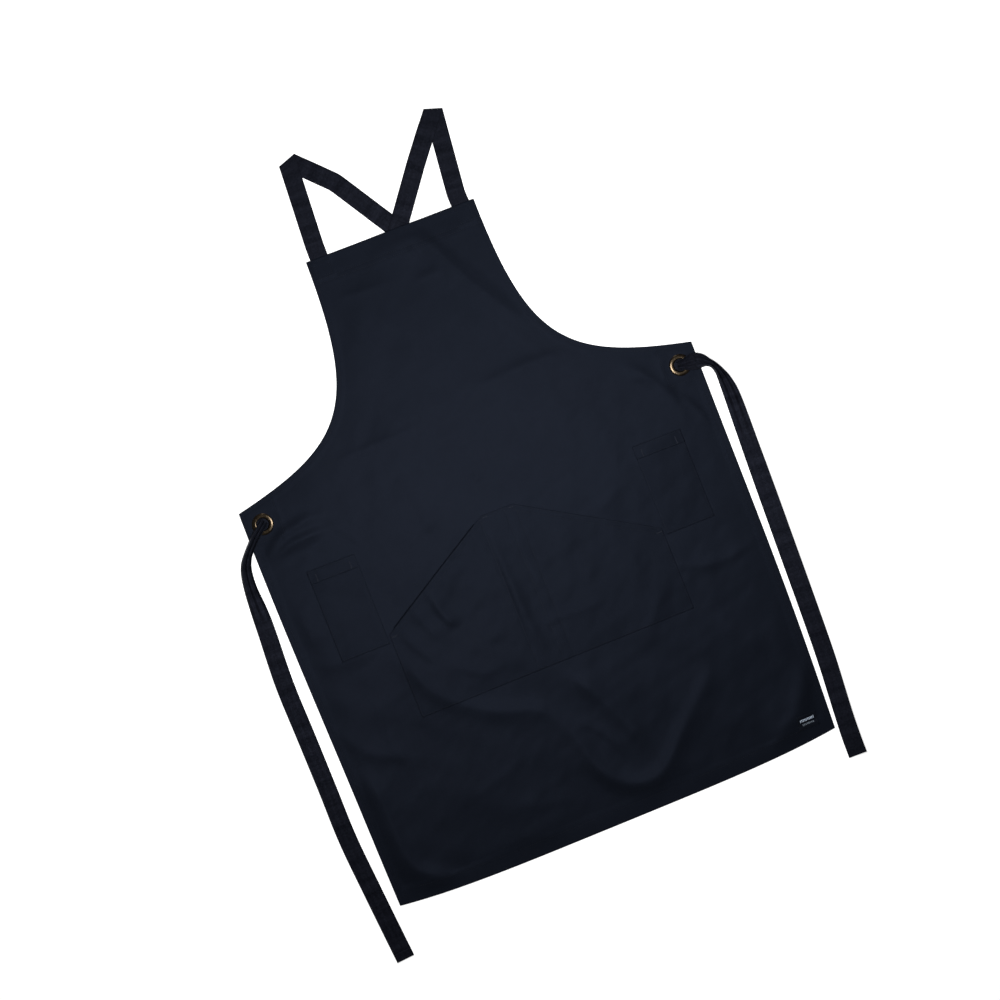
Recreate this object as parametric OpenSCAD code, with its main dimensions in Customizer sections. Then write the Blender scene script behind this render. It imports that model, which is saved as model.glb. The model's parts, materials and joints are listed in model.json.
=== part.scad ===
// Cross-back bib apron of cotton twill, laid out flat with its face up.
// +Y points to the bib's top, +X to the viewer's right, +Z up. The origin is on the resting
// surface, under the middle of the whole laid-out apron with its shoulder loops and ties.

/* [Apron body] */
// Width of the bib's top edge
bib_w = 258; // [250:1:268]
// Height of the bib above the two side corners
bib_h = 304; // [296:1:312]
// Width across the two side corners
waist_w = 697; // [690:1:704]
// Width of the bottom edge
hem_w = 676; // [660:1:690]
// Height of the skirt, from the side corners to the middle of the bottom edge
skirt_h = 611; // [560:1:640]
// How much higher the bottom edge ends at its two corners
hem_rise = 11; // [0:1:16]
// Height of the packing fold above the side corners
fold_h = 40; // [30:1:50]
// Thickness of the cotton twill
cloth_t = 0.6; // [0.5:0.1:0.8]

/* [Hems and bindings] */
// Depth of the bib's folded top hem
top_hem_d = 38; // [32:1:44]
// Depth of the bottom hem
bottom_hem_d = 22; // [15:1:30]
// Depth of the two side hems
side_hem_d = 10; // [8:1:14]
// Width of the binding behind each armhole edge
binding_w = 6; // [4:0.5:7]

/* [Straps and ties] */
// Width of the strap tape
tape_w = 27; // [22:1:27]
// Thickness of the strap tape
tape_t = 0.6; // [0.5:0.1:0.8]
// How far a strap's sewn end reaches behind the bib's top edge
strap_end_l = 30; // [20:1:33]
// Radius of the tape bunched up inside an eyelet
throat_r = 6.5; // [5:0.1:7]

/* [Eyelets] */
// Outer radius of an eyelet's rolled ring
eyelet_r = 16; // [14:0.5:18]
// Radius of an eyelet's hole
eyelet_hole_r = 9; // [8:0.1:10]
// Wall thickness of an eyelet's barrel
eyelet_wall = 0.8; // [0.6:0.1:1.2]
// Height of the ring above the cloth
eyelet_h = 1.4; // [1:0.1:1.6]
// Distance of an eyelet's centre from the side edge
eyelet_inset = 27; // [25:0.5:28]
// Distance of an eyelet's centre below the side corner
eyelet_drop = 26; // [25:0.5:28]

/* [Pockets] */
// Width of the large centre pocket
centre_pocket_w = 422; // [400:1:424]
// Width of the flat middle of its top edge, between the two slanted mouths
centre_flat_w = 48; // [40:1:80]
// Distance of the centre pocket's top edge below the side corners
centre_top_d = 126; // [120:1:150]
// Height of the centre pocket along its middle
centre_pocket_h = 237; // [200:1:260]
// Height of its straight side edges, below the slanted mouths
centre_side_h = 126; // [100:1:130]
// Width of a hip pocket
hip_w = 74; // [60:1:76]
// Height of a hip pocket
hip_h = 137; // [90:1:150]
// Height of the folded band at a hip pocket's mouth
hip_band_h = 20; // [12:1:24]
// Distance of a hip pocket's centre from the apron's centreline
hip_x = 251; // [250:1:255]
// Distance of a hip pocket's top edge below the side corners
hip_top_d = 112; // [105:1:119]

/* [Label] */
// Width of the woven label
label_w = 30; // [20:1:34]
// Height of the woven label
label_h = 20; // [14:1:24]

/* [Hidden] */

navy = "#1a1e27";
navy_tape = "#15181f";
thread = "#20242e";
brass = "#8a6a3c";
label_navy = "#20242e";
label_white = "#c9ccd0";

// Layers, from the resting surface up. A slip gap keeps stacked tapes apart.
slip = 0.05;
z_low_tape = 0;
z_high_tape = tape_t + slip;
z_backing = z_high_tape + tape_t + slip;
z_panel = z_backing + cloth_t;
z_face = z_panel + cloth_t;
z_pocket = z_face + cloth_t;
z_pocket_face = z_pocket + cloth_t;
running_gap = 0.3;
z_tie = z_face + eyelet_h + running_gap;
stitch_w = 0.8;
stitch_h = 0.3;

// Heights along Y. side_y puts the origin under the middle of the whole layout.
side_y = 113;
bib_top_y = side_y + bib_h;
hem_y = side_y - skirt_h;
hem_corner_y = hem_y + hem_rise;
fold_y = side_y + fold_h;
joint_gap = 0.5;
eyelet_x = waist_w / 2 - eyelet_inset;
eyelet_y = side_y - eyelet_drop;
eyelet_bore_r = eyelet_hole_r + eyelet_wall;

// Strap routes, on the tape's centreline. Each tape runs from one shoulder to the far eyelet.
run_to_right = [
    [11, 415], [46, 362], [80, 308], [110, 256], [140, 204], [180, 152], [244, 112], [321.5, 87],
];
run_to_left = [
    [11, 415], [-25, 365], [-66, 310], [-104, 256], [-140, 204], [-180, 152], [-244, 112], [-321.5, 87],
];
left_front_leg = [[-110, 417], [-101.5, 580]];
left_back_leg = [[11, 414], [-49, 510], [-112, 583]];
left_fold = [[-200, 530], [0, 600]];
right_front_leg = [[106.5, 417], [122, 572]];
right_back_leg = [[11, 414], [70, 494], [137, 585]];
right_fold = [[0, 597], [200, 533.5]];
left_tie = [
    [-340, 71], [-357, 54], [-367, 34], [-371, 5], [-371, -40], [-375, -120],
    [-373, -200], [-371, -300], [-368, -400], [-359, -495], [-354, -570],
];
right_tie = [
    [350, 84], [368, 72], [374, 42], [375, 0], [374, -80], [372, -190],
    [370, -300], [367, -400], [362, -470], [360, -529],
];
strap_end_x = 109;
step_l = 2;
tie_hem_l = 12;
smooth_steps = 6;

// A point on the cubic through a, b, c and d, between b and c.
function spline_point(a, b, c, d, t) = 0.5 * (
    2 * b + (c - a) * t + (2 * a - 5 * b + 4 * c - d) * t * t + (3 * b - a - 3 * c + d) * t * t * t
);
function smooth_path(p, n = smooth_steps) = [
    for (i = [0:len(p) - 2], k = [0:n - 1])
        spline_point(p[max(i - 1, 0)], p[i], p[i + 1], p[min(i + 2, len(p) - 1)], k / n),
    p[len(p) - 1],
];
function unit(v) = v / norm(v);
function side_normal(p, i) =
    let (d = unit(p[min(i + 1, len(p) - 1)] - p[max(i - 1, 0)])) [-d.y, d.x];
function reversed(p) = [for (i = [len(p) - 1:-1:0]) p[i]];
function shifted(p, d) = [for (i = [0:len(p) - 1]) p[i] + d * side_normal(p, i)];
// The outline of a strip of width w along the path p.
function strip(p, w) = concat(shifted(p, w / 2), reversed(shifted(p, -w / 2)));
function mirrored(p) = [for (q = p) [-q.x, q.y]];

// The armhole edge on the right, from the bib's top corner down to the side corner.
armhole_steps = 36;
function armhole_point(t) =
    pow(1 - t, 3) * [bib_w / 2, bib_top_y]
    + 3 * t * pow(1 - t, 2) * [bib_w / 2 + 0.5, side_y + 0.265 * bib_h]
    + 3 * t * t * (1 - t) * [waist_w * 0.247, side_y + 0.13 * bib_h]
    + pow(t, 3) * [waist_w / 2, side_y];
armhole = [for (i = [0:armhole_steps]) armhole_point(i / armhole_steps)];

// The side edge on the right narrows towards the bottom hem, which rises to its corners.
side_steps = 10;
hem_steps = 12;
function side_point(y) =
    [waist_w / 2 - (waist_w - hem_w) / 2 * pow((side_y - y) / (side_y - hem_corner_y), 2), y];
function side_run(y_top, y_low) =
    [for (i = [0:side_steps]) side_point(y_top + (y_low - y_top) * i / side_steps)];
function hem_point(t) = [hem_w / 2 * t, hem_y + hem_rise * pow(t, 4)];
function hem_run(d) = [for (i = [-hem_steps:hem_steps]) hem_point(-i / hem_steps) + [0, d]];
function without_ends(p) = [for (i = [1:len(p) - 2]) p[i]];
right_edge = concat(armhole, without_ends(side_run(side_y, hem_corner_y)));
outline = concat(right_edge, hem_run(0), reversed(mirrored(right_edge)));

module slab(z, t, points) {
    translate([0, 0, z]) linear_extrude(t) polygon(points);
}

// Keeps what lies between two heights along Y.
module between(y_low, y_high) {
    intersection() {
        children();
        translate([-500, y_low, -10]) cube([1000, y_high - y_low, 30]);
    }
}

// The strap that a fold line closes at the top of a shoulder loop.
module folded_leg(z, leg, fold) {
    low_y = bib_top_y + joint_gap;
    translate([0, 0, z]) linear_extrude(tape_t) intersection() {
        polygon(strip(leg, tape_w));
        polygon([[-200, low_y], [200, low_y], fold[1], fold[0]]);
    }
}

// The level of the tape from the left shoulder (side -1) or the right shoulder (side 1).
function strap_z(side) = side < 0 ? z_low_tape : z_high_tape;

module at_eyelet(side) {
    translate([side * eyelet_x, eyelet_y, 0]) children();
}

// ---------------------------------------------------------------- body cloth

module body_cloth() {
    difference() {
        slab(z_panel, cloth_t, outline);
        for (side = [-1, 1]) at_eyelet(side) cylinder(h = 20, r = eyelet_bore_r, $fn = 96);
    }
}

module skirt_panel() {
    color(navy) between(hem_y - 1, fold_y - joint_gap / 2) body_cloth();
}

module bib_panel() {
    color(navy) between(fold_y + joint_gap / 2, bib_top_y + 1) body_cloth();
}

module bottom_hem() {
    color(navy) slab(0, z_panel, concat(hem_run(0), reversed(hem_run(bottom_hem_d))));
}

module side_hem(side) {
    edge = side_run(side_y - 2 * eyelet_drop, hem_corner_y + bottom_hem_d);
    hem = concat(edge, [for (p = reversed(edge)) p - [side_hem_d, 0]]);
    color(navy) slab(0, z_panel, side > 0 ? hem : mirrored(hem));
}

module bib_top_hem() {
    color(navy) translate([0, 0, z_backing]) linear_extrude(cloth_t) intersection() {
        polygon(outline);
        translate([-bib_w / 2 + binding_w, bib_top_y - top_hem_d])
            square([bib_w - 2 * binding_w, top_hem_d]);
    }
}

// A binding closes the armhole edge from behind.
module armhole_binding(side) {
    edge = side > 0 ? armhole : mirrored(armhole);
    color(navy) slab(0, z_panel, concat(edge, reversed(shifted(edge, -side * binding_w))));
}

module upper_binding(side) {
    between(fold_y + joint_gap / 2, bib_top_y) armhole_binding(side);
}

module lower_binding(side) {
    between(side_y + 2, fold_y - joint_gap / 2) armhole_binding(side);
}

// ------------------------------------------------------- corners and eyelets

module corner_patch(side) {
    patch_w = eyelet_inset * 2;
    patch_h = eyelet_drop * 2;
    washer_clearance = 0.2;
    color(navy) difference() {
        translate([0, 0, z_backing]) linear_extrude(cloth_t) intersection() {
            polygon(outline);
            translate([side * eyelet_x - patch_w / 2, side_y - patch_h]) square([patch_w, patch_h]);
        }
        at_eyelet(side) cylinder(h = 20, r = eyelet_r - 1 + washer_clearance, $fn = 96);
    }
}

// The front half of an eyelet: a barrel with a rounded ring over the cloth.
module eyelet(side) {
    ring_mid = (eyelet_r + eyelet_hole_r) / 2;
    ring_half = (eyelet_r - eyelet_hole_r) / 2;
    crown = [for (a = [0:15:180]) [ring_mid + ring_half * cos(a), z_face + eyelet_h * sin(a)]];
    color(brass) at_eyelet(side) {
        rotate_extrude($fn = 96) polygon(crown);
        difference() {
            translate([0, 0, z_backing]) cylinder(h = z_face - z_backing, r = eyelet_bore_r, $fn = 96);
            cylinder(h = 20, r = eyelet_hole_r, $fn = 96);
        }
    }
}

module eyelet_washer(side) {
    color(brass) at_eyelet(side) difference() {
        translate([0, 0, z_backing]) cylinder(h = cloth_t, r = eyelet_r - 1, $fn = 96);
        cylinder(h = 20, r = eyelet_bore_r, $fn = 96);
    }
}

// ------------------------------------------------------------------- pockets

pocket_turn = 8;
centre_top_y = side_y - centre_top_d;
centre_low_y = centre_top_y - centre_pocket_h;
mouth_low = [centre_pocket_w / 2, centre_low_y + centre_side_h];
mouth_top = [centre_flat_w / 2, centre_top_y];
centre_outline = [
    mouth_low, [mouth_low.x, centre_low_y], [-mouth_low.x, centre_low_y], [-mouth_low.x, mouth_low.y],
    [-mouth_top.x, mouth_top.y], mouth_top,
];
mouth_along = unit(mouth_low - mouth_top);
mouth_in = [mouth_along.y, -mouth_along.x];

// The pocket's face sheet with its sewn edges turned under it.
module centre_pocket() {
    color(navy) {
        slab(z_pocket, cloth_t, centre_outline);
        difference() {
            slab(z_face, cloth_t, [
                mouth_low, [mouth_low.x, centre_low_y], [-mouth_low.x, centre_low_y],
                [-mouth_low.x, mouth_low.y],
            ]);
            translate([-mouth_low.x + pocket_turn, centre_low_y + pocket_turn, 0])
                cube([centre_pocket_w - 2 * pocket_turn, centre_side_h, 20]);
        }
        translate([-mouth_top.x, centre_top_y - pocket_turn, z_face])
            cube([centre_flat_w, pocket_turn, cloth_t]);
    }
}

// Tape that stiffens a slanted mouth from behind.
module pocket_mouth_tape(side) {
    a = mouth_top + mouth_along * 20;
    b = mouth_low - mouth_along * 14;
    tape = [a, b, b + mouth_in * 10, a + mouth_in * 10];
    color(navy) slab(z_face, cloth_t - slip, side > 0 ? tape : mirrored(tape));
}

module pen_slot_stitching() {
    color(thread) for (x = [-28, 10, 26])
        translate([x - stitch_w / 2, centre_low_y + 4, z_pocket_face])
            cube([stitch_w, centre_pocket_h - 8, stitch_h]);
}

module hip_pocket(side) {
    top_y = side_y - hip_top_d;
    color(navy) translate([side * hip_x - hip_w / 2, top_y - hip_h, 0]) {
        translate([0, 0, z_pocket]) cube([hip_w, hip_h, cloth_t]);
        difference() {
            translate([0, 0, z_face]) cube([hip_w, hip_h, cloth_t]);
            translate([pocket_turn, pocket_turn, 0]) cube([hip_w - 2 * pocket_turn, hip_h, 20]);
        }
    }
}

module hip_pocket_band(side) {
    color(navy) translate([side * hip_x - hip_w / 2, side_y - hip_top_d - hip_band_h, z_pocket_face])
        cube([hip_w, hip_band_h, cloth_t]);
}

// Dense thread blocks at the ends of every pocket mouth.
module bar_tacks() {
    tack_w = 2.4;
    color(thread) for (side = [-1, 1]) {
        for (end = [-1, 1])
            translate([
                side * hip_x + end * (hip_w / 2 - tack_w) - tack_w / 2,
                side_y - hip_top_d - hip_band_h + 2, z_pocket_face + cloth_t,
            ]) cube([tack_w, hip_band_h - 4, stitch_h]);
        for (corner = [mouth_top - [4, 4], mouth_low - [6, 5]])
            translate([side * corner.x - 4, corner.y - tack_w / 2, z_pocket_face])
                cube([8, tack_w, stitch_h]);
    }
}

// ------------------------------------------------------- stitching and label

module hem_stitching() {
    row_inset = 2;
    side_row = side_run(side_y - 2 * eyelet_drop - row_inset, hem_corner_y + bottom_hem_d);
    side_shift = [side_hem_d - row_inset, 0];
    color(thread) {
        slab(z_face, stitch_h, concat(
            without_ends(hem_run(bottom_hem_d - row_inset)),
            reversed(without_ends(hem_run(bottom_hem_d - row_inset - stitch_w)))
        ));
        for (side = [-1, 1]) {
            row = strip([for (p = side_row) p - side_shift], stitch_w);
            slab(z_face, stitch_h, side > 0 ? row : mirrored(row));
        }
    }
}

module bib_hem_stitching() {
    color(thread) for (d = [top_hem_d - 2, top_hem_d - 8])
        translate([-bib_w / 2 + 1, bib_top_y - d, z_face]) cube([bib_w - 2, stitch_w, stitch_h]);
}

// A plain patch with two pale woven bars.
module woven_label() {
    label_t = 0.5;
    bar_t = 0.1;
    label_inset = 13;
    corner = [hem_w / 2 - label_inset - label_w, hem_corner_y + bottom_hem_d - 2, z_face];
    color(label_navy) translate(corner) cube([label_w, label_h, label_t]);
    color(label_white) translate(corner + [3, 0, label_t]) {
        translate([0, label_h - 8, 0]) cube([label_w - 6, 4.5, bar_t]);
        translate([0, 4, 0]) cube([label_w - 12, 3, bar_t]);
    }
}

// ---------------------------------------------------- straps behind the bib

// The tape from the left shoulder lies under the other one where they cross.
module back_strap(side) {
    color(navy_tape)
        slab(strap_z(side), tape_t, strip(smooth_path(side < 0 ? run_to_right : run_to_left), tape_w));
}

module upper_back_strap(side) {
    between(fold_y + joint_gap / 2, bib_top_y) back_strap(side);
}

module lower_back_strap(side) {
    between(side_y - 100, fold_y - joint_gap / 2) back_strap(side);
}

module strap_end(side) {
    color(navy_tape)
        translate([side * strap_end_x - tape_w / 2, bib_top_y - strap_end_l, strap_z(-side)])
            cube([tape_w, strap_end_l, tape_t]);
}

// ------------------------------------------------------------ shoulder loops

// A loop's front leg lies over its back leg on the left, and under it on the right.
module shoulder_front(side) {
    color(navy_tape) folded_leg(
        strap_z(-side), side < 0 ? left_front_leg : right_front_leg, side < 0 ? left_fold : right_fold
    );
}

module shoulder_back(side) {
    color(navy_tape) folded_leg(
        strap_z(side), side < 0 ? left_back_leg : right_back_leg, side < 0 ? left_fold : right_fold
    );
}

// --------------------------------------------------------------- waist ties

// A tie comes up through its eyelet, over the side edge, and down to the resting surface.
// The left tie slants across the edge, so it steps down further out than the right one.
module waist_tie(side) {
    step_r = side < 0 ? 72 : 40;
    tail = side < 0 ? left_tie : right_tie;
    eye = [side * eyelet_x, eyelet_y];
    path = smooth_path(concat([eye], tail));
    color(navy_tape) {
        at_eyelet(side) translate([0, 0, z_panel - running_gap])
            cylinder(h = z_tie + tape_t - z_panel + running_gap, r = throat_r, $fn = 64);
        intersection() {
            slab(z_tie, tape_t, strip(path, tape_w));
            at_eyelet(side) cylinder(h = 20, r = step_r + step_l, $fn = 128);
        }
        intersection() {
            slab(z_low_tape, z_tie + tape_t, strip(path, tape_w));
            at_eyelet(side) difference() {
                cylinder(h = 20, r = step_r + step_l, $fn = 128);
                translate([0, 0, -1]) cylinder(h = 30, r = step_r, $fn = 128);
            }
        }
        difference() {
            slab(z_low_tape, tape_t, strip(path, tape_w));
            at_eyelet(side) translate([0, 0, -1]) cylinder(h = 30, r = step_r, $fn = 128);
        }
    }
}

// The tie's cut end, turned over once and sewn down.
module tie_end_hem(side) {
    tail = side < 0 ? left_tie : right_tie;
    end = tail[len(tail) - 1];
    along = unit(tail[len(tail) - 2] - end);
    color(navy_tape)
        slab(z_low_tape + tape_t, tape_t, strip([end + along * tie_hem_l, end], tape_w - 1));
}

skirt_panel();
bottom_hem();
side_hem(-1);  // side_hem_left
side_hem(1);  // side_hem_right
lower_binding(-1);  // lower_binding_left
lower_binding(1);  // lower_binding_right
corner_patch(-1);  // corner_patch_left
corner_patch(1);  // corner_patch_right
eyelet(-1);  // eyelet_left
eyelet(1);  // eyelet_right
eyelet_washer(-1);  // eyelet_washer_left
eyelet_washer(1);  // eyelet_washer_right
centre_pocket();
pocket_mouth_tape(-1);  // pocket_mouth_tape_left
pocket_mouth_tape(1);  // pocket_mouth_tape_right
pen_slot_stitching();
hip_pocket(-1);  // hip_pocket_left
hip_pocket(1);  // hip_pocket_right
hip_pocket_band(-1);  // hip_pocket_band_left
hip_pocket_band(1);  // hip_pocket_band_right
bar_tacks();
hem_stitching();
woven_label();
lower_back_strap(-1);  // lower_back_strap_left
lower_back_strap(1);  // lower_back_strap_right
bib_panel();
bib_top_hem();
bib_hem_stitching();
upper_binding(-1);  // upper_binding_left
upper_binding(1);  // upper_binding_right
strap_end(-1);  // strap_end_left
strap_end(1);  // strap_end_right
upper_back_strap(-1);  // upper_back_strap_left
upper_back_strap(1);  // upper_back_strap_right
shoulder_front(-1);  // shoulder_front_left
shoulder_front(1);  // shoulder_front_right
shoulder_back(-1);  // shoulder_back_left
shoulder_back(1);  // shoulder_back_right
waist_tie(-1);  // waist_tie_left
waist_tie(1);  // waist_tie_right
tie_end_hem(-1);  // tie_end_hem_left
tie_end_hem(1);  // tie_end_hem_right
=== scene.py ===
"""A cross-back bib apron of navy cotton twill, laid out flat with its face up.

Lengths are in metres in the CAD frame: +X to the viewer's right, +Y to the bib's top, +Z up.
A sheet's height is that of its middle layer, and Solidify gives it its thickness.
"""

import json
import math

import bpy
import numpy as np
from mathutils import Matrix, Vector
from mathutils.geometry import delaunay_2d_cdt
from mathutils.kdtree import KDTree


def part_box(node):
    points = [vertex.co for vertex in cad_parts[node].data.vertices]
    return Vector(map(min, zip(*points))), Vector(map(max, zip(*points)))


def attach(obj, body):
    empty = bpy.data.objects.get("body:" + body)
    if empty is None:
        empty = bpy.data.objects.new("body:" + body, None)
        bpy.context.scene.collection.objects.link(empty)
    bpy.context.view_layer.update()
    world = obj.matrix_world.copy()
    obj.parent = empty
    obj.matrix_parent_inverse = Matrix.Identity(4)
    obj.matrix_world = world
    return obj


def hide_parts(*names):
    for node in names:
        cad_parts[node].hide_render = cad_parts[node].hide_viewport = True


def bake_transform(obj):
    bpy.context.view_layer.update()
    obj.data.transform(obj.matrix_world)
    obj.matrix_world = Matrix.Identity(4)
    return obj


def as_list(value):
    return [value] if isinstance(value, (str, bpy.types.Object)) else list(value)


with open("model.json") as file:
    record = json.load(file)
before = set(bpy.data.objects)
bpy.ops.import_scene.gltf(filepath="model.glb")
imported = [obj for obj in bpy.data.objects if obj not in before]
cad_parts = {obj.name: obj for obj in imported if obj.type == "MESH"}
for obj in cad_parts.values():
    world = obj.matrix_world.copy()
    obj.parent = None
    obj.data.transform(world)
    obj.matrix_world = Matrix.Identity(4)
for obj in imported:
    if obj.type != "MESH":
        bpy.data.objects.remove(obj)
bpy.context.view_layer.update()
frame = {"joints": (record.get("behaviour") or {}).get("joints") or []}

MM = 0.001
SEED = 7

# ------------------------------------------------------------------ sizes and places
# Thicknesses, and the gaps between layers and above the table
CLOTH = 0.6 * MM
POCKET_CLOTH = 0.45 * MM
TAPE = 0.9 * MM
TURNED = 1.0 * MM
LAYER_GAP = 0.03 * MM
TABLE_GAP = 0.05 * MM
TABLE_MID = TABLE_GAP + CLOTH / 2
TAPE_MID = TABLE_GAP + TAPE / 2

joint_places = {joint["name"]: joint["pos_m"] for joint in frame["joints"]}
skirt_low, skirt_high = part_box("skirt_panel")
BIB_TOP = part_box("bib_panel")[1].y
FOLD_Y = joint_places["bib_fold"][1]
SIDE_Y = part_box("corner_patch_right")[1].y
HEM_Y = skirt_low.y
WAIST_HALF = skirt_high.x
HEM_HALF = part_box("bottom_hem")[1].x
BIB_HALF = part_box("upper_binding_right")[0].x + 6 * MM
BOTTOM_HEM = 22 * MM
SIDE_HEM = 10 * MM
BINDING = 8 * MM
TOP_HEM = BIB_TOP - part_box("bib_top_hem")[0].y
HEM_CORNER_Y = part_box("bottom_hem")[1].y - BOTTOM_HEM
SIDES = {-1: "left", 1: "right"}
EYELETS = {side: np.array(joint_places[f"tie_{name}_swing"][:2]) for side, name in SIDES.items()}
EYELET_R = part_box("eyelet_right")[1].x - EYELETS[1][0]
EYELET_HOLE = 9 * MM
PATCH_IN = WAIST_HALF - 54 * MM
PATCH_LOW = SIDE_Y - 52 * MM
TAPE_W = 27 * MM
SEWN_END = 30 * MM
SEWN_X = 109 * MM
HANDOVER_Y = 0.2

# Spacing of the points along outlines, edges and tapes
COARSE_STEP = 12 * MM
EDGE_STEP = 4 * MM
TAPE_STEP = 2.5 * MM

# How far a mesh's rings reach within a rolled edge, in rolls, and beyond a hole
ROLL_REACH = 2.6
HOLE_MARGIN = 3 * MM

# How far in from an edge its row of stitches runs, and where the layer turned behind it begins
SEAM_INSET = 2 * MM
LAYER_INSET = 0.5 * MM

# The shown thickness of a turned layer, and how far its middle and a doubled one's lie below the cloth's
BACKING = 0.9 * TURNED
TURNED_DEPTH = CLOTH / 2 + TURNED / 2
DOUBLED_DEPTH = CLOTH + LAYER_GAP

# The skirt lies askew: its drift to the right, its tilt and its drop at the hem
SKIRT_DRIFT = 5.5 * MM
SKIRT_TILT = 0.024
SKIRT_DROP = 1.5 * MM


# --------------------------------------------------------------------- plane curves
def smooth(x):
    """0 below 0, 1 above 1, and an even turn between."""
    t = np.clip(x, 0, 1)
    return t * t * (3 - 2 * t)


def arc_length(path):
    steps = np.linalg.norm(np.diff(path, axis=0), axis=1)
    return np.concatenate([[0], np.cumsum(steps)])


def resampled(path, step):
    """The path again, with points an even step apart and both ends kept."""
    path = np.asarray(path, float)
    along = arc_length(path)
    at = np.linspace(0, along[-1], max(2, round(along[-1] / step) + 1))
    return np.stack([np.interp(at, along, path[:, k]) for k in range(path.shape[1])], axis=1)


def spline(points, step):
    """A smooth curve through the points."""
    p = np.asarray(points, float)
    ends = np.concatenate([[2 * p[0] - p[1]], p, [2 * p[-1] - p[-2]]])
    out = []
    for a, b, c, d in zip(ends[:-3], ends[1:-2], ends[2:-1], ends[3:]):
        for t in np.linspace(0, 1, 12, endpoint=False):
            cubic = 2 * b + (c - a) * t + (2 * a - 5 * b + 4 * c - d) * t**2
            out.append((cubic + (3 * b - a - 3 * c + d) * t**3) / 2)
    return resampled(np.array(out + [p[-1]]), step)


def rounded(points, step, reach=9 * MM):
    """Straight runs between points, softened at each turn."""
    line = resampled(points, MM)
    count = int(reach / MM)
    ahead = np.concatenate([2 * line[0] - line[count:0:-1], line, 2 * line[-1] - line[-2:-count - 2:-1]])
    weight = np.hanning(2 * count + 3)[1:-1]
    weight /= weight.sum()
    soft = np.stack([np.convolve(ahead[:, k], weight, "valid") for k in range(line.shape[1])], axis=1)
    return resampled(soft, step)


def closed_loop(corners, step):
    """Points an even step apart round straight edges, with every corner kept."""
    corners = np.asarray(corners, float)
    ends = np.roll(corners, -1, axis=0)
    return np.concatenate([resampled([a, b], step)[:-1] for a, b in zip(corners, ends)])


def in_mm(points):
    return np.array(points, float) * MM


def hand_drawn(points, step=3 * MM):
    """A smooth curve through points given in millimetres."""
    return spline(in_mm(points), step)


def side_normals(path):
    """Unit normals to the left of an open path."""
    way = np.gradient(path[:, :2], axis=0)
    way /= np.linalg.norm(way, axis=1)[:, None]
    return np.stack([-way[:, 1], way[:, 0]], axis=1)


def sided(p, path):
    """Each point's distance from a path, how far along it is, and whether it lies to the left."""
    far = np.full(len(p), 1e9)
    along_at = np.zeros(len(p))
    left = np.zeros(len(p), bool)
    along = arc_length(path)
    for a, b, start in zip(path[:-1], path[1:], along):
        way = b - a
        size = math.hypot(*way)
        off = p - a
        t = np.clip((off @ way) / size**2, 0, 1)
        d = np.hypot(*(off - t[:, None] * way).T)
        closer = d < far
        far[closer] = d[closer]
        along_at[closer] = start + t[closer] * size
        left[closer] = (way[0] * off[:, 1] - way[1] * off[:, 0])[closer] > 0
    return far, along_at, left


def distance(p, path):
    return sided(p, path)[0]


def closed(loop):
    """A loop as a path that ends where it began."""
    return np.vstack([loop, loop[:1]])


def inside(p, loop):
    """Which points lie within a closed loop."""
    within = np.zeros(len(p), bool)
    for a, b in zip(loop, np.roll(loop, -1, axis=0)):
        spans = (a[1] > p[:, 1]) != (b[1] > p[:, 1])
        rise = b[1] - a[1] if abs(b[1] - a[1]) > 1e-12 else 1e-12
        within ^= spans & (p[:, 0] < (b[0] - a[0]) * (p[:, 1] - a[1]) / rise + a[0])
    return within


def mirrored(path):
    return np.asarray(path) * [-1, 1]


def on_side(path, side):
    """A path drawn for the right side, for either side."""
    return np.asarray(path, float) if side > 0 else mirrored(path)


# ------------------------------------------------------------------ apron's outline
def armhole_curve():
    t = np.linspace(0, 1, 60)[:, None]
    bib_h = BIB_TOP - SIDE_Y
    top = np.array([BIB_HALF, BIB_TOP])
    upper = np.array([BIB_HALF + 0.5 * MM, SIDE_Y + 0.265 * bib_h])
    lower = np.array([2 * WAIST_HALF * 0.247, SIDE_Y + 0.13 * bib_h])
    corner = np.array([WAIST_HALF, SIDE_Y])
    return (1 - t) ** 3 * top + 3 * t * (1 - t) ** 2 * upper + 3 * t**2 * (1 - t) * lower + t**3 * corner


def side_x(y):
    return WAIST_HALF - (WAIST_HALF - HEM_HALF) * ((SIDE_Y - y) / (SIDE_Y - HEM_CORNER_Y)) ** 2


def hem_curve(inset=0.0):
    x = np.linspace(-HEM_HALF, HEM_HALF, 60)
    return np.stack([x, HEM_Y + inset + (HEM_CORNER_Y - HEM_Y) * (x / HEM_HALF) ** 4], axis=1)


def side_curve(top, low):
    y = np.linspace(top, low, 40)
    return np.stack([side_x(y), y], axis=1)


ARMHOLE = armhole_curve()
SIDE_EDGE = side_curve(SIDE_Y, HEM_CORNER_Y)


def apron_loop(step):
    """The outline, anticlockwise, with every corner kept."""
    runs = [
        hem_curve(),
        SIDE_EDGE[::-1],
        ARMHOLE[::-1],
        np.array([[BIB_HALF, BIB_TOP], [-BIB_HALF, BIB_TOP]]),
        mirrored(ARMHOLE),
        mirrored(SIDE_EDGE),
    ]
    return np.concatenate([resampled(run, step)[:-1] for run in runs])


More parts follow.
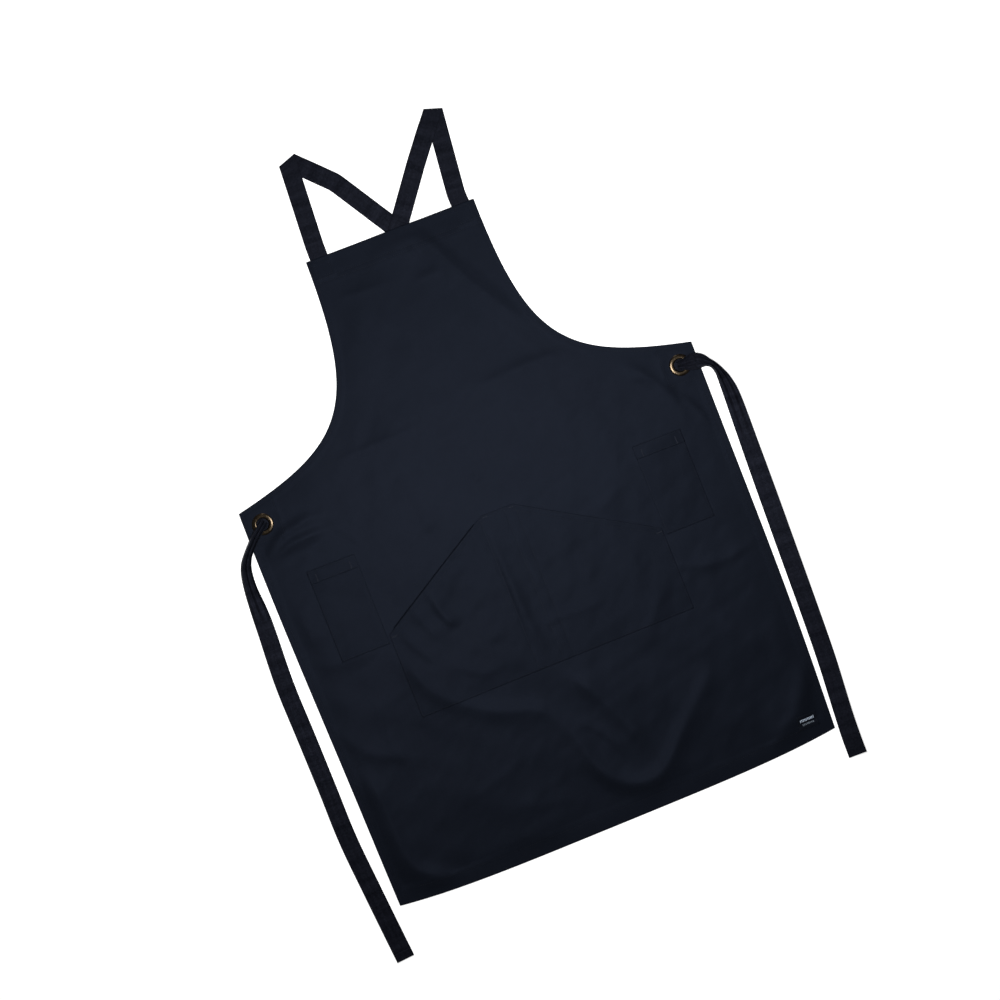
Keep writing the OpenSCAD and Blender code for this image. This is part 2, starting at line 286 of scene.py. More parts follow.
# ----------------------------------------------------------------------- tape routes
BACK_ROUTES = {
    -1: [(11, 415), (46, 362), (80, 308), (110, 256), (140, 204), (180, 152), (244, 112), (321.5, 87)],
    1: [(11, 415), (-25, 365), (-66, 310), (-104, 256), (-140, 204), (-180, 152), (-244, 112), (-321.5, 87)],
}
BACK_RUNS = {side: hand_drawn(route) for side, route in BACK_ROUTES.items()}
UNDER_EYELET = 12 * MM
FRONT_LEGS = {-1: in_mm([(-110, 417), (-101.5, 580)]), 1: in_mm([(106.5, 417), (122, 572)])}
FOLD_LINES = {-1: in_mm([(-200, 530), (0, 600)]), 1: in_mm([(0, 597), (200, 533.5)])}
BACK_LEGS = {
    -1: in_mm([(11, 414), (-49, 510), (-112, 583)]),
    1: in_mm([(11, 414), (70, 494), (137, 585)]),
}


def within(far, reach, ramp=3 * MM):
    """1 for distances within a reach, falling to 0 over a ramp beyond it."""
    return smooth((reach + ramp - far) / ramp)


def over_tape(p, run, margin=0.0, ramp=4.5 * MM):
    """1 where a tape lies at a point, falling to 0 a little way beside it."""
    return within(distance(p, run), TAPE_W / 2 + margin, ramp)


def over_box(p, low, high, ramp=3.5 * MM):
    """1 within a box, falling to 0 a little way beside it."""
    outside = np.maximum(np.maximum(low - p, p - high), 0)
    return smooth(1 - np.hypot(*outside.T) / ramp)


def sewn_end_box(side):
    middle = side * SEWN_X
    low = np.array([middle - TAPE_W / 2, BIB_TOP - SEWN_END])
    return low, np.array([middle + TAPE_W / 2, BIB_TOP + 20 * MM])


# ---------------------------------------------------------------------- cloth relief
def as_laid(p):
    """Where the cloth lies: the skirt drifts to the right towards its hem and hangs lower on the left."""
    drift = SKIRT_DRIFT * smooth((80 * MM - p[:, 1]) / (440 * MM))
    hang = (SKIRT_TILT * p[:, 0] - SKIRT_DROP) * smooth((70 * MM - p[:, 1]) / (450 * MM))
    return p + np.stack([drift, hang], axis=1)


# Folds of the cloth: a crest's height, its reach to the left and right, and its line, in millimetres.
FOLDS = [
    (4.7, 13, 14, [(-214, -146), (-200, -178), (-184, -212), (-160, -244), (-128, -270), (-88, -290),
                      (-50, -302), (-24, -329), (-8, -366), (2, -402), (18, -431), (44, -450), (72, -455),
                      (102, -441), (130, -413), (160, -384), (194, -352), (222, -326)]),
    (3.3, 12, 13, [(-6, -378), (6, -418), (30, -446), (60, -457), (92, -450), (122, -422), (142, -400)]),
    (2.8, 11.2, 6.8, [(-14, -328), (14, -352), (34, -374), (46, -398), (56, -422)]),
    (6.4, 14, 14, [(4, -262), (27, -292), (48, -326), (63, -360), (77, -396), (90, -428)]),
    (2.6, 13, 11, [(-338, -212), (-319, -246), (-295, -276), (-258, -295), (-226, -302)]),
    (6.6, 11, 20, [(-314, -284), (-305, -335), (-302, -395), (-299, -434), (-284, -464), (-256, -479),
                      (-222, -484)]),
    (4.6, 14, 16, [(346, -354), (331, -392), (313, -424), (291, -448), (262, -467), (232, -478)]),
    (2.4, 19.5, 32.5, [(340, -350), (322, -392), (302, -424), (280, -448), (246, -466)]),
    (2.6, 10.5, 17.5, [(214, -168), (188, -198), (160, -231), (140, -264), (129, -298)]),
    (4.4, 6.8, 11.2, [(-342, 18), (-326, 44), (-303, 61), (-277, 69), (-248, 72), (-222, 66)]),
    (5.2, 6.0, 10.0, [(-326, 22), (-314, 36), (-296, 45), (-274, 48), (-248, 49), (-228, 44)]),
    (2.0, 7.5, 4.5, [(-238, 68), (-223, 45), (-207, 22), (-192, 0)]),
    (4.6, 9, 12, [(232, 128), (252, 108), (271, 85), (289, 58), (300, 30), (303, 0)]),
    (2.4, 5.2, 8.8, [(300, 56), (314, 34), (326, 8), (336, -20)]),
    (1.8, 13.5, 22.5, [(182, 78), (184, 20), (180, -40)]),
    (1.8, 17.5, 10.5, [(-120, 90), (-100, 40), (-98, -10)]),
    (1.8, 15.0, 9.0, [(-318, -40), (-314, -80), (-318, -120)]),
    (1.8, 5.2, 8.8, [(-206, 134), (-150, 136), (-90, 138), (-44, 143)]),
    (2.3, 8, 11, [(14, 159), (60, 164), (110, 167), (150, 166), (196, 158)]),
    (1.2, 4.5, 7.5, [(-112, 353), (-60, 350), (-16, 350)]),
    (1.4, 5.2, 8.8, [(6, 336), (30, 339), (56, 338)]),
    (4.0, 9, 13, [(0, 403), (28, 395), (47, 376), (62, 345), (82, 308), (104, 272), (126, 236),
                      (143, 212)]),
    (1.5, 10.0, 6.0, [(-108, 340), (-98, 306), (-88, 272), (-80, 246)]),
    (2.2, 16.2, 9.8, [(-338, -124), (-300, -137), (-262, -142), (-222, -136)]),
    (2.2, 9, 7, [(192, -178), (226, -186), (262, -197), (300, -195), (348, -180)]),
    (1.3, 8.8, 5.2, [(-10, -190), (50, -192), (112, -190)]),
    (1.2, 14, 11, [(120, -78), (150, -62), (184, -42), (216, -32)]),
    (1.8, 10.5, 17.5, [(-60, -480), (-140, -470), (-210, -476)]),
    (2.0, 10.5, 17.5, [(230, -240), (262, -300), (300, -350)]),
    (1.8, 17.5, 10.5, [(-250, -180), (-262, -260), (-240, -340)]),
    (1.6, 9.0, 15.0, [(60, 120), (120, 92), (190, 84)]),
    (1.6, 9.8, 16.2, [(-70, -330), (-120, -372), (-190, -392)]),
    (1.4, 13.8, 8.2, [(-130, -420), (-80, -436), (-30, -440)]),
    (1.6, 15.0, 9.0, [(180, -430), (224, -420), (262, -396)]),
    (1.4, 15.0, 9.0, [(-60, 318), (-30, 262), (-44, 214)]),
]
# Rounded bumps: height, reach and place, in millimetres.
BUMPS = [
    (1.8, 6, (-9, 40)), (1.1, 8, (-99, 1)), (1.9, 7, (18, 376)), (2.8, 24, (2, 390)), (1.6, 20, (-62, -120)),
]
# Swells: height, shortest wave and longest wave, in millimetres.
SWELLS = [(1.5, 90, 240), (0.6, 30, 70), (0.2, 15, 26)]


def waves(p, seed, shortest, longest, count=9):
    """A gentle irregular swell between -1 and 1."""
    rng = np.random.default_rng(seed)
    total = np.zeros(len(p))
    for _ in range(count):
        turn, phase = rng.uniform(0, 2 * math.pi, 2)
        length = rng.uniform(shortest, longest)
        total += np.sin((p @ [math.cos(turn), math.sin(turn)]) * 2 * math.pi / length + phase)
    return total / math.sqrt(count) / 1.6


def fold_heights(p, folds, blunt=1.7):
    """The height of raised folds that fade out at both their ends."""
    total = np.zeros(len(p))
    for height, left_w, right_w, points in folds:
        run = hand_drawn(points, 6 * MM)
        reach = 3.5 * max(left_w, right_w) * MM
        near = np.all((p > run.min(0) - reach) & (p < run.max(0) + reach), axis=1)
        far, along, left = sided(p[near], run)
        length = arc_length(run)[-1]
        ends = min(0.35 * length, 55 * MM)
        fade = smooth(along / ends) * smooth((length - along) / ends)
        swell = 0.88 + 0.12 * np.sin(along / (23 * MM) + height)
        width = np.where(left, left_w, right_w) * MM
        total[near] += height * MM * fade * swell * np.exp(-((far / width) ** blunt))
    return total


def edge_distance(p):
    return distance(p, apron_loop(COARSE_STEP))


def wrinkles(p):
    """How high the cloth lifts off what lies below it."""
    from_edge = edge_distance(p)
    p = as_laid(p)
    inner = smooth(from_edge / (45 * MM))
    swell = SWELLS[0][0] + sum(
        height * waves(p, SEED + number, shortest * MM, longest * MM)
        for number, (height, shortest, longest) in enumerate(SWELLS)
    )
    swell *= MM
    bumps = sum(
        height * MM * np.exp(-(np.hypot(*(p - in_mm(place)).T) / (width * MM)) ** 2)
        for height, width, place in BUMPS
    )
    on_bib = smooth((p[:, 1] - FOLD_Y) / (40 * MM))
    lift = np.maximum(swell, 0.05 * MM) * inner * (1 - 0.45 * on_bib)
    lift += fold_heights(p, FOLDS) * (0.35 + 0.65 * smooth(from_edge / (22 * MM)))
    lift += bumps
    for eyelet in EYELETS.values():
        reach = np.hypot(*(p - eyelet).T)
        lift *= smooth((reach - 15 * MM) / (16 * MM))
    return lift


def layers_below(p):
    """The thickness of the hems, patches and tapes between the cloth and the table."""
    x, y = p.T
    hem_far = y - np.interp(x, *hem_curve().T)
    side_far = side_x(np.minimum(y, SIDE_Y)) - np.abs(x)
    along_armhole = (y > SIDE_Y - BINDING) & (y < BIB_TOP)
    on_right = np.stack([np.abs(x), y], axis=1)
    patch_low, patch_high = np.array([PATCH_IN, PATCH_LOW]), np.array([1, SIDE_Y + 0.1])
    cloth = np.maximum.reduce([
        TURNED * within(hem_far, BOTTOM_HEM),
        TURNED * within(side_far, SIDE_HEM) * (y < PATCH_LOW),
        TURNED * within(edge_distance(p), BINDING) * along_armhole,
        TURNED * over_box(on_right, patch_low, patch_high),
        DOUBLED_DEPTH * within(BIB_TOP - y, TOP_HEM),
    ])
    tapes = over_tape(p, BACK_RUNS[-1], 0, 10 * MM) + over_tape(p, BACK_RUNS[1], 0, 24 * MM)
    tapes = tapes + sum(over_box(p, *sewn_end_box(side)) for side in SIDES)
    return cloth + (TAPE + LAYER_GAP) * tapes


# The rows of stitches on the apron's own cloth
def armhole_row(side, inset=5.5 * MM):
    run = resampled(ARMHOLE, EDGE_STEP)
    row = run - side_normals(run) * inset
    keep = (row[:, 1] < BIB_TOP - 3 * MM) & (row[:, 0] < WAIST_HALF - 4 * MM)
    return on_side(row[keep], side)


def patch_row(side):
    inner = PATCH_IN + SEAM_INSET
    top = np.interp(inner, ARMHOLE[:, 0], ARMHOLE[:, 1]) - 9 * MM
    low = PATCH_LOW + SEAM_INSET
    return on_side([(inner, top), (inner, low), (side_x(low) - 3 * MM, low)], side)


def sewn_end_row(side):
    """The stitched box that holds a strap's sewn end."""
    low, high = sewn_end_box(side)
    low = low + 3 * MM
    high = np.array([high[0] - 3 * MM, BIB_TOP - 4 * MM])
    return np.array([low, (high[0], low[1]), high, (low[0], high[1]), low])


HEM_ROWS = [hem_curve(BOTTOM_HEM - SEAM_INSET)[3:-3]]
for hem_side in SIDES:
    row = side_curve(PATCH_LOW - SEAM_INSET, HEM_CORNER_Y + BOTTOM_HEM) - [SIDE_HEM - SEAM_INSET, 0]
    HEM_ROWS.append(on_side(row, hem_side))
PATCH_ROWS = [patch_row(side) for side in SIDES]
ARMHOLE_ROWS = {side: armhole_row(side) for side in SIDES}
BIB_ROWS = [
    np.array([(-BIB_HALF + SEAM_INSET, BIB_TOP - drop), (BIB_HALF - SEAM_INSET, BIB_TOP - drop)])
    for drop in (TOP_HEM - SEAM_INSET, TOP_HEM - 8 * MM)
]
BIB_ROWS += [sewn_end_row(side) for side in SIDES]
APRON_ROWS = HEM_ROWS + PATCH_ROWS + list(ARMHOLE_ROWS.values()) + BIB_ROWS


def pinched(p, rows, depth=0.2 * MM, pucker=0.2 * MM):
    """How stitched rows draw the cloth down, with small puckers beside them."""
    total = np.zeros(len(p))
    reach = 14 * MM
    for number, row in enumerate(rows):
        near = np.all((p > row.min(0) - reach) & (p < row.max(0) + reach), axis=1)
        far, along, _ = sided(p[near], row)
        wobble = np.sin(along * 2 * math.pi / (7.5 * MM) + 1.3 * np.sin(along / (17 * MM) + number))
        total[near] += pucker * wobble * np.exp(-((far / (5 * MM)) ** 2)) * smooth(far / (3 * MM))
        total[near] -= depth * np.exp(-((far / (1.3 * MM)) ** 2))
    return total


def apron_height(p):
    p = np.asarray(p, float)
    height = TABLE_MID + layers_below(p) + wrinkles(p) + pinched(p, APRON_ROWS)
    eyelet_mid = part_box("corner_patch_right")[1].z + CLOTH / 2
    for eyelet in EYELETS.values():
        flat = smooth((26 * MM - np.hypot(*(p - eyelet).T)) / (9 * MM))
        height = height * (1 - flat) + eyelet_mid * flat
    return np.maximum(height, TABLE_MID)


# --------------------------------------------------------------------- mesh building
def new_piece(name, points, faces, flat_places=None):
    """A smooth mesh object. flat_places are the cloth's own coordinates, for its weave."""
    mesh = bpy.data.meshes.new(name)
    mesh.from_pydata([tuple(q) for q in points], [], [tuple(f) for f in faces])
    mesh.polygons.foreach_set("use_smooth", [True] * len(mesh.polygons))
    if flat_places is not None:
        layer = mesh.uv_layers.new(name="weave")
        corners = np.zeros(len(mesh.loops), int)
        mesh.loops.foreach_get("vertex_index", corners)
        layer.data.foreach_set("uv", np.asarray(flat_places, float)[corners].ravel())
    mesh.validate()
    piece = bpy.data.objects.new(name, mesh)
    bpy.context.scene.collection.objects.link(piece)
    return piece


def thicken(piece, thickness):
    solid = piece.modifiers.new("thickness", "SOLIDIFY")
    solid.thickness = thickness
    solid.offset = 0
    solid.use_even_offset = False
    return piece


def loop_insets(loop):
    """How far each point of an anticlockwise loop moves for an inset of one."""
    before = loop - np.roll(loop, 1, axis=0)
    after = np.roll(before, -1, axis=0)
    normals = []
    for way in (before, after):
        way = way / np.linalg.norm(way, axis=1)[:, None]
        normals.append(np.stack([-way[:, 1], way[:, 0]], axis=1))
    middle = normals[0] + normals[1]
    middle /= np.linalg.norm(middle, axis=1)[:, None]
    return middle / np.maximum((middle * normals[0]).sum(1), 0.6)[:, None]


def edge_rings(loop, roll):
    """The outline, and the rings within it that carry its rolled edge."""
    return [loop + loop_insets(loop) * inset for inset in (0, 0.3 * roll, roll, ROLL_REACH * roll)]


def hole_rings(centre, radius):
    turn = np.linspace(0, 2 * math.pi, 64, endpoint=False)
    circle = np.stack([np.cos(turn), np.sin(turn)], axis=1)
    return [centre + circle * (radius + gap) for gap in (0, 1.2 * MM, HOLE_MARGIN)]


def seam_points(rows, loop, margin):
    """Three lines of points along each row of stitches, clear of the outline."""
    lines = [np.zeros((0, 2))]
    for row in rows:
        line = resampled(row, 2.5 * MM)
        lines += [line + side_normals(line) * gap for gap in (-1.4 * MM, 0, 1.4 * MM)]
    points = np.concatenate(lines)
    return points[inside(points, loop) & (distance(points, closed(loop)) > margin)]


def lattice_points(loop, step):
    """An even triangular lattice within an outline."""
    low, high = loop.min(0), loop.max(0)
    lattice = np.array([
        (x + step / 2 * (number % 2), y)
        for number, y in enumerate(np.arange(low[1], high[1], step * math.sqrt(3) / 2))
        for x in np.arange(low[0], high[0], step)
    ])
    return lattice[inside(lattice, loop)]


def clear_of(points, fixed, margin):
    """The points that are not within a margin of the fixed ones."""
    tree = KDTree(len(fixed))
    for number, q in enumerate(fixed):
        tree.insert((q[0], q[1], 0), number)
    tree.balance()
    return points[np.array([tree.find((q[0], q[1], 0))[2] for q in points]) > margin]


def outside_holes(points, holes, margin):
    clear = np.ones(len(points), bool)
    for centre, radius in holes:
        clear &= np.hypot(*(points - centre).T) > radius + margin
    return clear


def filled_sheet(name, loop, height, step, rows=(), holes=(), roll=0.8 * MM):
    """A sheet of cloth over an outline. Its edges roll down, and its points follow the seam rows."""
    borders = [edge_rings(loop, roll)] + [hole_rings(*hole) for hole in holes]
    seams = seam_points(rows, loop, ROLL_REACH * roll + 0.5 * MM)
    fixed = np.concatenate(sum(borders, []) + [seams])
    lattice = clear_of(lattice_points(loop, step), fixed, 0.55 * step)
    lattice = lattice[outside_holes(lattice, holes, HOLE_MARGIN)]
    edges = []
    start = 0
    for rings in borders:
        end = start + len(rings[0])
        edges += [(number, number + 1) for number in range(start, end - 1)] + [(end - 1, start)]
        start += len(np.concatenate(rings))
    points = [Vector(q) for q in np.concatenate([fixed, lattice])]
    flat, _, faces, *_ = delaunay_2d_cdt(points, edges, [], 1, 1e-7)
    flat = np.array(flat, float)[:, :2]
    faces = np.array(faces)
    middles = flat[faces].mean(1)
    faces = faces[inside(middles, loop) & outside_holes(middles, holes, -0.01 * MM)]
    used, faces = np.unique(faces, return_inverse=True)
    flat = flat[used]
    curl = np.clip(1 - distance(flat, closed(loop)) / roll, 0, 1)
    z = height(flat) - roll * (1 - np.sqrt(1 - curl**2))
    return new_piece(name, np.column_stack([flat, z]), faces.reshape(-1, 3), flat)


def grid_faces(rows, columns):
    start = np.arange((rows - 1) * columns).reshape(rows - 1, columns)[:, :-1].ravel()
    return np.stack([start, start + 1, start + columns + 1, start + columns], axis=1)


def banded_sheet(name, edge, near, far, height, columns=5):
    """A strip of cloth along an edge, between two insets to the left of the edge's way."""
    normals = side_normals(edge)
    insets = np.linspace(near, far, columns)
    rows = np.stack([edge + normals * inset for inset in insets], axis=1)
    flat = rows.reshape(-1, 2)
    faces = grid_faces(len(edge), columns)
    return new_piece(name, np.column_stack([flat, height(flat)]), faces, flat)


def ribbon(name, left, right, folds=None, columns=13):
    """A tape between two edge lines of 3-D points. folds gives its depth of pleats along it."""
    share = np.linspace(0, 1, columns)
    across = (1 - np.cos(share * math.pi)) / 2 if folds is None else share
    along = arc_length((left + right) / 2)
    rows = left[:, None] * (1 - across)[None, :, None] + right[:, None] * across[None, :, None]
    rows[:, :, 2] -= 0.13 * MM * (np.abs(2 * across - 1) ** 8)[None, :]
    if folds is not None:
        pleats, turns = folds
        rows[:, :, 2] += pleats[:, None] * np.cos(across * math.pi * turns)[None, :]
    flat = np.stack(np.broadcast_arrays((across - 0.5)[None, :] * TAPE_W, along[:, None]), axis=2)
    return new_piece(name, rows.reshape(-1, 3), grid_faces(len(left), columns), flat.reshape(-1, 2))


def lathed(name, profile, centre, steps=128):
    """A closed ring turned about the vertical through a centre. The profile is (radius, height)."""
    turn = np.linspace(0, 2 * math.pi, steps, endpoint=False)
    points = [
        (centre[0] + r * math.cos(a), centre[1] + r * math.sin(a), z)
        for a in turn
        for r, z in profile
    ]
    count = len(profile)
    faces = [
        (i * count + k, (i + 1) % steps * count + k, (i + 1) % steps * count + (k + 1) % count,
         i * count + (k + 1) % count)
        for i in range(steps)
        for k in range(count)
    ]
    return new_piece(name, points, faces)


# A stitch's rings: how far along it each lies, how high, and its girth, in shares of its length and radius.
STITCH_SHAPE = [(-0.46, -0.9, 0.5), (-0.3, 0.5, 0.95), (0, 0.85, 1.05), (0.3, 0.5, 0.95), (0.46, -0.9, 0.5)]
STITCH_SIDES = 5


def stitch_places(rows, pitch):
    """The middle and the way of each stitch along the rows, a little uneven."""
    rng = np.random.default_rng(SEED)
    middles, ways = [], []
    for row in rows:
        line = resampled(row, pitch)
        steps = np.diff(line, axis=0)
        way = steps / np.linalg.norm(steps, axis=1)[:, None]
        turn = rng.normal(0, 0.045, len(way))
        ways.append(np.stack([way[:, 0] - turn * way[:, 1], way[:, 1] + turn * way[:, 0]], axis=1))
        middles.append((line[:-1] + line[1:]) / 2 + rng.normal(0, 0.06 * MM, way.shape))
    return np.concatenate(middles), np.concatenate(ways)


def stitch_faces(count):
    """The faces of many stitches, whose points come stitch by stitch and ring by ring."""
    sides = STITCH_SIDES
    size = len(STITCH_SHAPE) * sides
    tube = [
        (ring + k, ring + (k + 1) % sides, ring + (k + 1) % sides + sides, ring + k + sides)
        for ring in range(0, size - sides, sides)
        for k in range(sides)
    ]
    caps = [range(sides)[::-1], range(size - sides, size)]
    starts = size * np.arange(count)[:, None, None]
    quads = (np.array(tube) + starts).reshape(-1, 4)
    return quads.tolist() + (np.array(caps) + starts).reshape(-1, sides).tolist()


def stitched(name, rows, height, cloth=CLOTH, pitch=3.1 * MM, radius=0.26 * MM):
    """Rows of short raised stitches that follow a surface."""
    middles, ways = stitch_places(rows, pitch)
    normals = np.stack([-ways[:, 1], ways[:, 0]], axis=1)
    base = height(middles) + cloth / 2
    points = []
    for share, rise, girth in STITCH_SHAPE:
        for k in range(STITCH_SIDES):
            angle = 2 * math.pi * k / STITCH_SIDES
            flat = middles + ways * share * pitch * 0.86 + normals * radius * girth * math.cos(angle)
            z = base + radius * (rise + girth * math.sin(angle))
            points.append(np.column_stack([flat, z]))
    points = np.stack(points, axis=1).reshape(-1, 3)
    return new_piece(name, points, stitch_faces(len(middles)))


# ------------------------------------------------------------------------- materials
class Shader:
    """A material whose nodes are added by short calls."""

    def __init__(self, name):
        self.material = bpy.data.materials.new(name)
        self.material.use_nodes = True
        self.nodes = self.material.node_tree.nodes
        self.links = self.material.node_tree.links
        self.surface = self.nodes["Principled BSDF"]

    def add(self, kind, inputs=(), **settings):
        """A node with its settings and inputs. It returns the node's first output, or a vector's three."""
        node = self.nodes.new("ShaderNode" + kind)
        for key, value in settings.items():
            setattr(node, key, value)
        for socket, value in dict(inputs).items():
            if isinstance(value, bpy.types.NodeSocket):
                self.links.new(value, node.inputs[socket])
            else:
                node.inputs[socket].default_value = value
        return node.outputs if kind == "SeparateXYZ" else node.outputs[0]

    def math(self, operation, a, b=0.0, c=0.0):
        return self.add("Math", {0: a, 1: b, 2: c}, operation=operation)

    def total(self, start, *parts):
        """The start value plus each pattern times its weight."""
        for pattern, weight in parts:
            start = self.math("MULTIPLY_ADD", pattern, weight, start)
        return start

    def ripple(self, coordinate, pitch):
        """A wave from -1 to 1 along a coordinate in metres."""
        return self.math("SINE", self.math("MULTIPLY", coordinate, 2 * math.pi / pitch))

    def noise(self, place, scale, detail=3.0, roughness=0.55):
        inputs = {"Vector": place, "Scale": scale, "Detail": detail, "Roughness": roughness}
        return self.add("TexNoise", inputs)

    def streaks(self, place, scale):
        """Noise stretched by unequal scales."""
        return self.noise(self.add("Mapping", {"Vector": place, "Scale": scale}), 1.0)

    def shades(self, factor, dark, light):
        """A colour between dark and light."""
        node = self.nodes.new("ShaderNodeMix")
        node.data_type = "RGBA"
        self.links.new(factor, node.inputs["Factor"])
        colours = [socket for socket in node.inputs if socket.type == "RGBA"]
        colours[0].default_value = (*dark, 1)
        colours[1].default_value = (*light, 1)
        return next(socket for socket in node.outputs if socket.type == "RGBA")

    def ranged(self, value, low, high, to_low, to_high):
        inputs = {0: value, 1: low, 2: high, 3: to_low, 4: to_high}
        return self.add("MapRange", inputs)

    def bump(self, height, distance, strength=1.0):
        inputs = {"Height": height, "Distance": distance, "Strength": strength}
        self.links.new(self.add("Bump", inputs), self.surface.inputs["Normal"])

    def set(self, **values):
        for key, value in values.items():
            socket = self.surface.inputs[key.replace("_", " ")]
            if isinstance(value, bpy.types.NodeSocket):
                self.links.new(value, socket)
            else:
                socket.default_value = value


def cloth_finish(shader, colour, tone, roughness, contrast=0.35, spread=0.29):
    """Sets the colours of a cloth from a yarn pattern and a slow mottle."""
    mottle = shader.noise(shader.add("UVMap", uv_map="weave"), 9.0, 4.0)
    factor = shader.math("MULTIPLY_ADD", tone, contrast, shader.math("MULTIPLY", mottle, 1 - contrast))
    dark = [(1 - spread) * c for c in colour]
    light = [(1 + spread) * c for c in colour]
    shader.set(Base_Color=shader.shades(factor, dark, light))
    shader.set(Roughness=shader.ranged(tone, 0, 1, roughness + 0.05, roughness - 0.05))
    shader.set(Specular_IOR_Level=0.06, Sheen_Weight=0.015, Sheen_Roughness=0.5)
    shader.set(Specular_Tint=(0.53, 0.65, 1.0, 1), Sheen_Tint=(0.55, 0.68, 1.0, 1))


def twill(name, colour, turn=0.0):
    """Cotton twill: steep diagonal ribs of floating warp yarns, each made of short segments."""
    shader = Shader(name)
    place = shader.add("UVMap", uv_map="weave")
    fibre = shader.noise(place, 900.0)
    slub = shader.streaks(place, (240, 30, 1))
    wander = shader.noise(place, 30.0, 2.0)
    axes = shader.add("SeparateXYZ", {0: place})
    shifted = shader.total(axes[0], (wander, 0.8 * MM))
    slope = math.tan(math.radians(27 + turn))
    rib = shader.ripple(shader.total(shifted, (axes[1], slope)), 0.85 * MM)
    yarn = shader.ripple(shifted, 0.42 * MM)
    tone = shader.total(0.35, (rib, 0.3), (yarn, 0.08), (slub, 0.3))
    relief = shader.total(tone, (fibre, 0.35))
    cloth_finish(shader, colour, tone, 0.55)
    shader.bump(relief, 0.16 * MM, 0.75)
    return shader.material


def herringbone(name, colour):
    """Woven tape: columns of slanted ribs that meet in chevrons."""
    shader = Shader(name)
    place = shader.add("UVMap", uv_map="weave")
    axes = shader.add("SeparateXYZ", {0: place})
    column = TAPE_W / 6
    zigzag = shader.math("PINGPONG", axes[0], column)
    rib = shader.ripple(shader.total(axes[1], (zigzag, 1.3)), 1.5 * MM)
    yarn = shader.ripple(axes[0], 0.75 * MM)
    fibre = shader.noise(place, 800.0)
    flecks = shader.noise(place, 300.0)
    bands = shader.streaks(place, (9, 75, 1))
    selvedge = shader.ranged(shader.math("ABSOLUTE", axes[0]), 0.43 * TAPE_W, 0.49 * TAPE_W, 0, 1)
    tone = shader.total(-1.4, (rib, 0.2), (yarn, 0.08), (flecks, 1.6), (bands, 2.2), (selvedge, -0.3))
    cloth_finish(shader, colour, tone, 0.55, 0.8, 0.62)
    shader.bump(shader.total(tone, (fibre, 0.3)), 0.28 * MM, 0.8)
    return shader.material


def thread_finish(name, colour):
    """Twisted sewing thread."""
    shader = Shader(name)
    place = shader.add("NewGeometry")
    fibre = shader.noise(place, 1500.0, 2.0)
    shader.set(Base_Color=shader.shades(fibre, [0.7 * c for c in colour], [1.4 * c for c in colour]))
    shader.set(Roughness=0.55, Specular_IOR_Level=0.08)
    shader.bump(fibre, 0.1 * MM, 0.5)
    return shader.material


def antique_brass(name):
    """Darkened brass, worn bright in patches."""
    shader = Shader(name)
    place = shader.add("NewGeometry")
    patina = shader.noise(place, 160.0, 5.0, 0.62)
    scratches = shader.noise(place, 900.0, 4.0)
    worn = shader.ranged(patina, 0.3, 0.7, 0, 1)
    shader.set(Base_Color=shader.shades(worn, (0.028, 0.021, 0.014), (0.07, 0.052, 0.033)))
    shader.set(Roughness=shader.ranged(scratches, 0.3, 0.7, 0.2, 0.26), Metallic=1.0)
    shader.bump(shader.total(patina, (scratches, 0.4)), 0.01 * MM, 0.08)
    return shader.material


NAVY = (0.0048, 0.0061, 0.0098)
TAPE_NAVY = (0.0058, 0.0062, 0.0094)
TWILL = twill("navy_twill", NAVY)
TWILL_CROSS = twill("navy_twill_turned", [0.94 * c for c in NAVY], 12)
HERRINGBONE = herringbone("navy_herringbone", TAPE_NAVY)
# The mouth facings' tape is painted far darker than the cloth: painted shadow of the gap under each slanted
# mouth.
SHADOW_PAINTED_TAPE = twill("mouth_tape_twill_painted_shadow", (0.0016, 0.0019, 0.0028), 15)
THREAD = thread_finish("navy_thread", (0.0074, 0.0091, 0.0142))
# The bar tacks' thread is painted lighter than the other thread: painted sheen of their satin stitches.
SHEEN_PAINTED_TACK_THREAD = thread_finish("navy_tack_thread_painted_sheen", (0.0125, 0.015, 0.0225))
BRASS = antique_brass("antique_brass")
LABEL_CLOTH = twill("label_weave", (0.0046, 0.0056, 0.0085), 20)
LABEL_PALE = thread_finish("label_pale_thread", (0.45, 0.52, 0.62))
LABEL_GREY = thread_finish("label_grey_thread", (0.17, 0.2, 0.235))


def dressed(piece, material, slot):
    """Gives a piece its material. A piece of the apron's own cloth also takes the skirt's lie."""
    if slot != "strap_tape":
        points = np.zeros(len(piece.data.vertices) * 3)
        piece.data.vertices.foreach_get("co", points)
        points = points.reshape(-1, 3)
        points[:, :2] = as_laid(points[:, :2])
        piece.data.vertices.foreach_set("co", points.ravel())
    piece.data.materials.clear()
    piece.data.materials.append(material)
    return piece


def second_layer(piece, thickness):
    """Finishes a piece of the apron's cloth that is cut the other way."""
    return dressed(thicken(piece, thickness), TWILL_CROSS, "cotton_twill")


def finished_tape(piece, thickness=TAPE):
    return dressed(thicken(piece, thickness), HERRINGBONE, "strap_tape")


def bent_with_bib(piece):
    """Bakes the piece's placement into its mesh, without bending it at the packing fold."""
    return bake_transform(piece)


# ------------------------------------------------------------------------ apron body
def make_apron_cloth():
    loop = apron_loop(3.4 * MM)
    hole = EYELET_HOLE + 0.8 * MM
    holes = [(eyelet, hole) for eyelet in EYELETS.values()]
    piece = filled_sheet("apron_cloth", loop, apron_height, 4.5 * MM, APRON_ROWS, holes)
    thicken(piece, CLOTH)
    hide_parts("skirt_panel", "bib_panel")
    return bent_with_bib(dressed(piece, TWILL, "cotton_twill"))


def below_apron(depth):
    """The middle of a layer that lies a depth below the cloth's own middle."""
    return lambda p: np.maximum(apron_height(p) - depth, 0.5 * TURNED + LAYER_GAP)


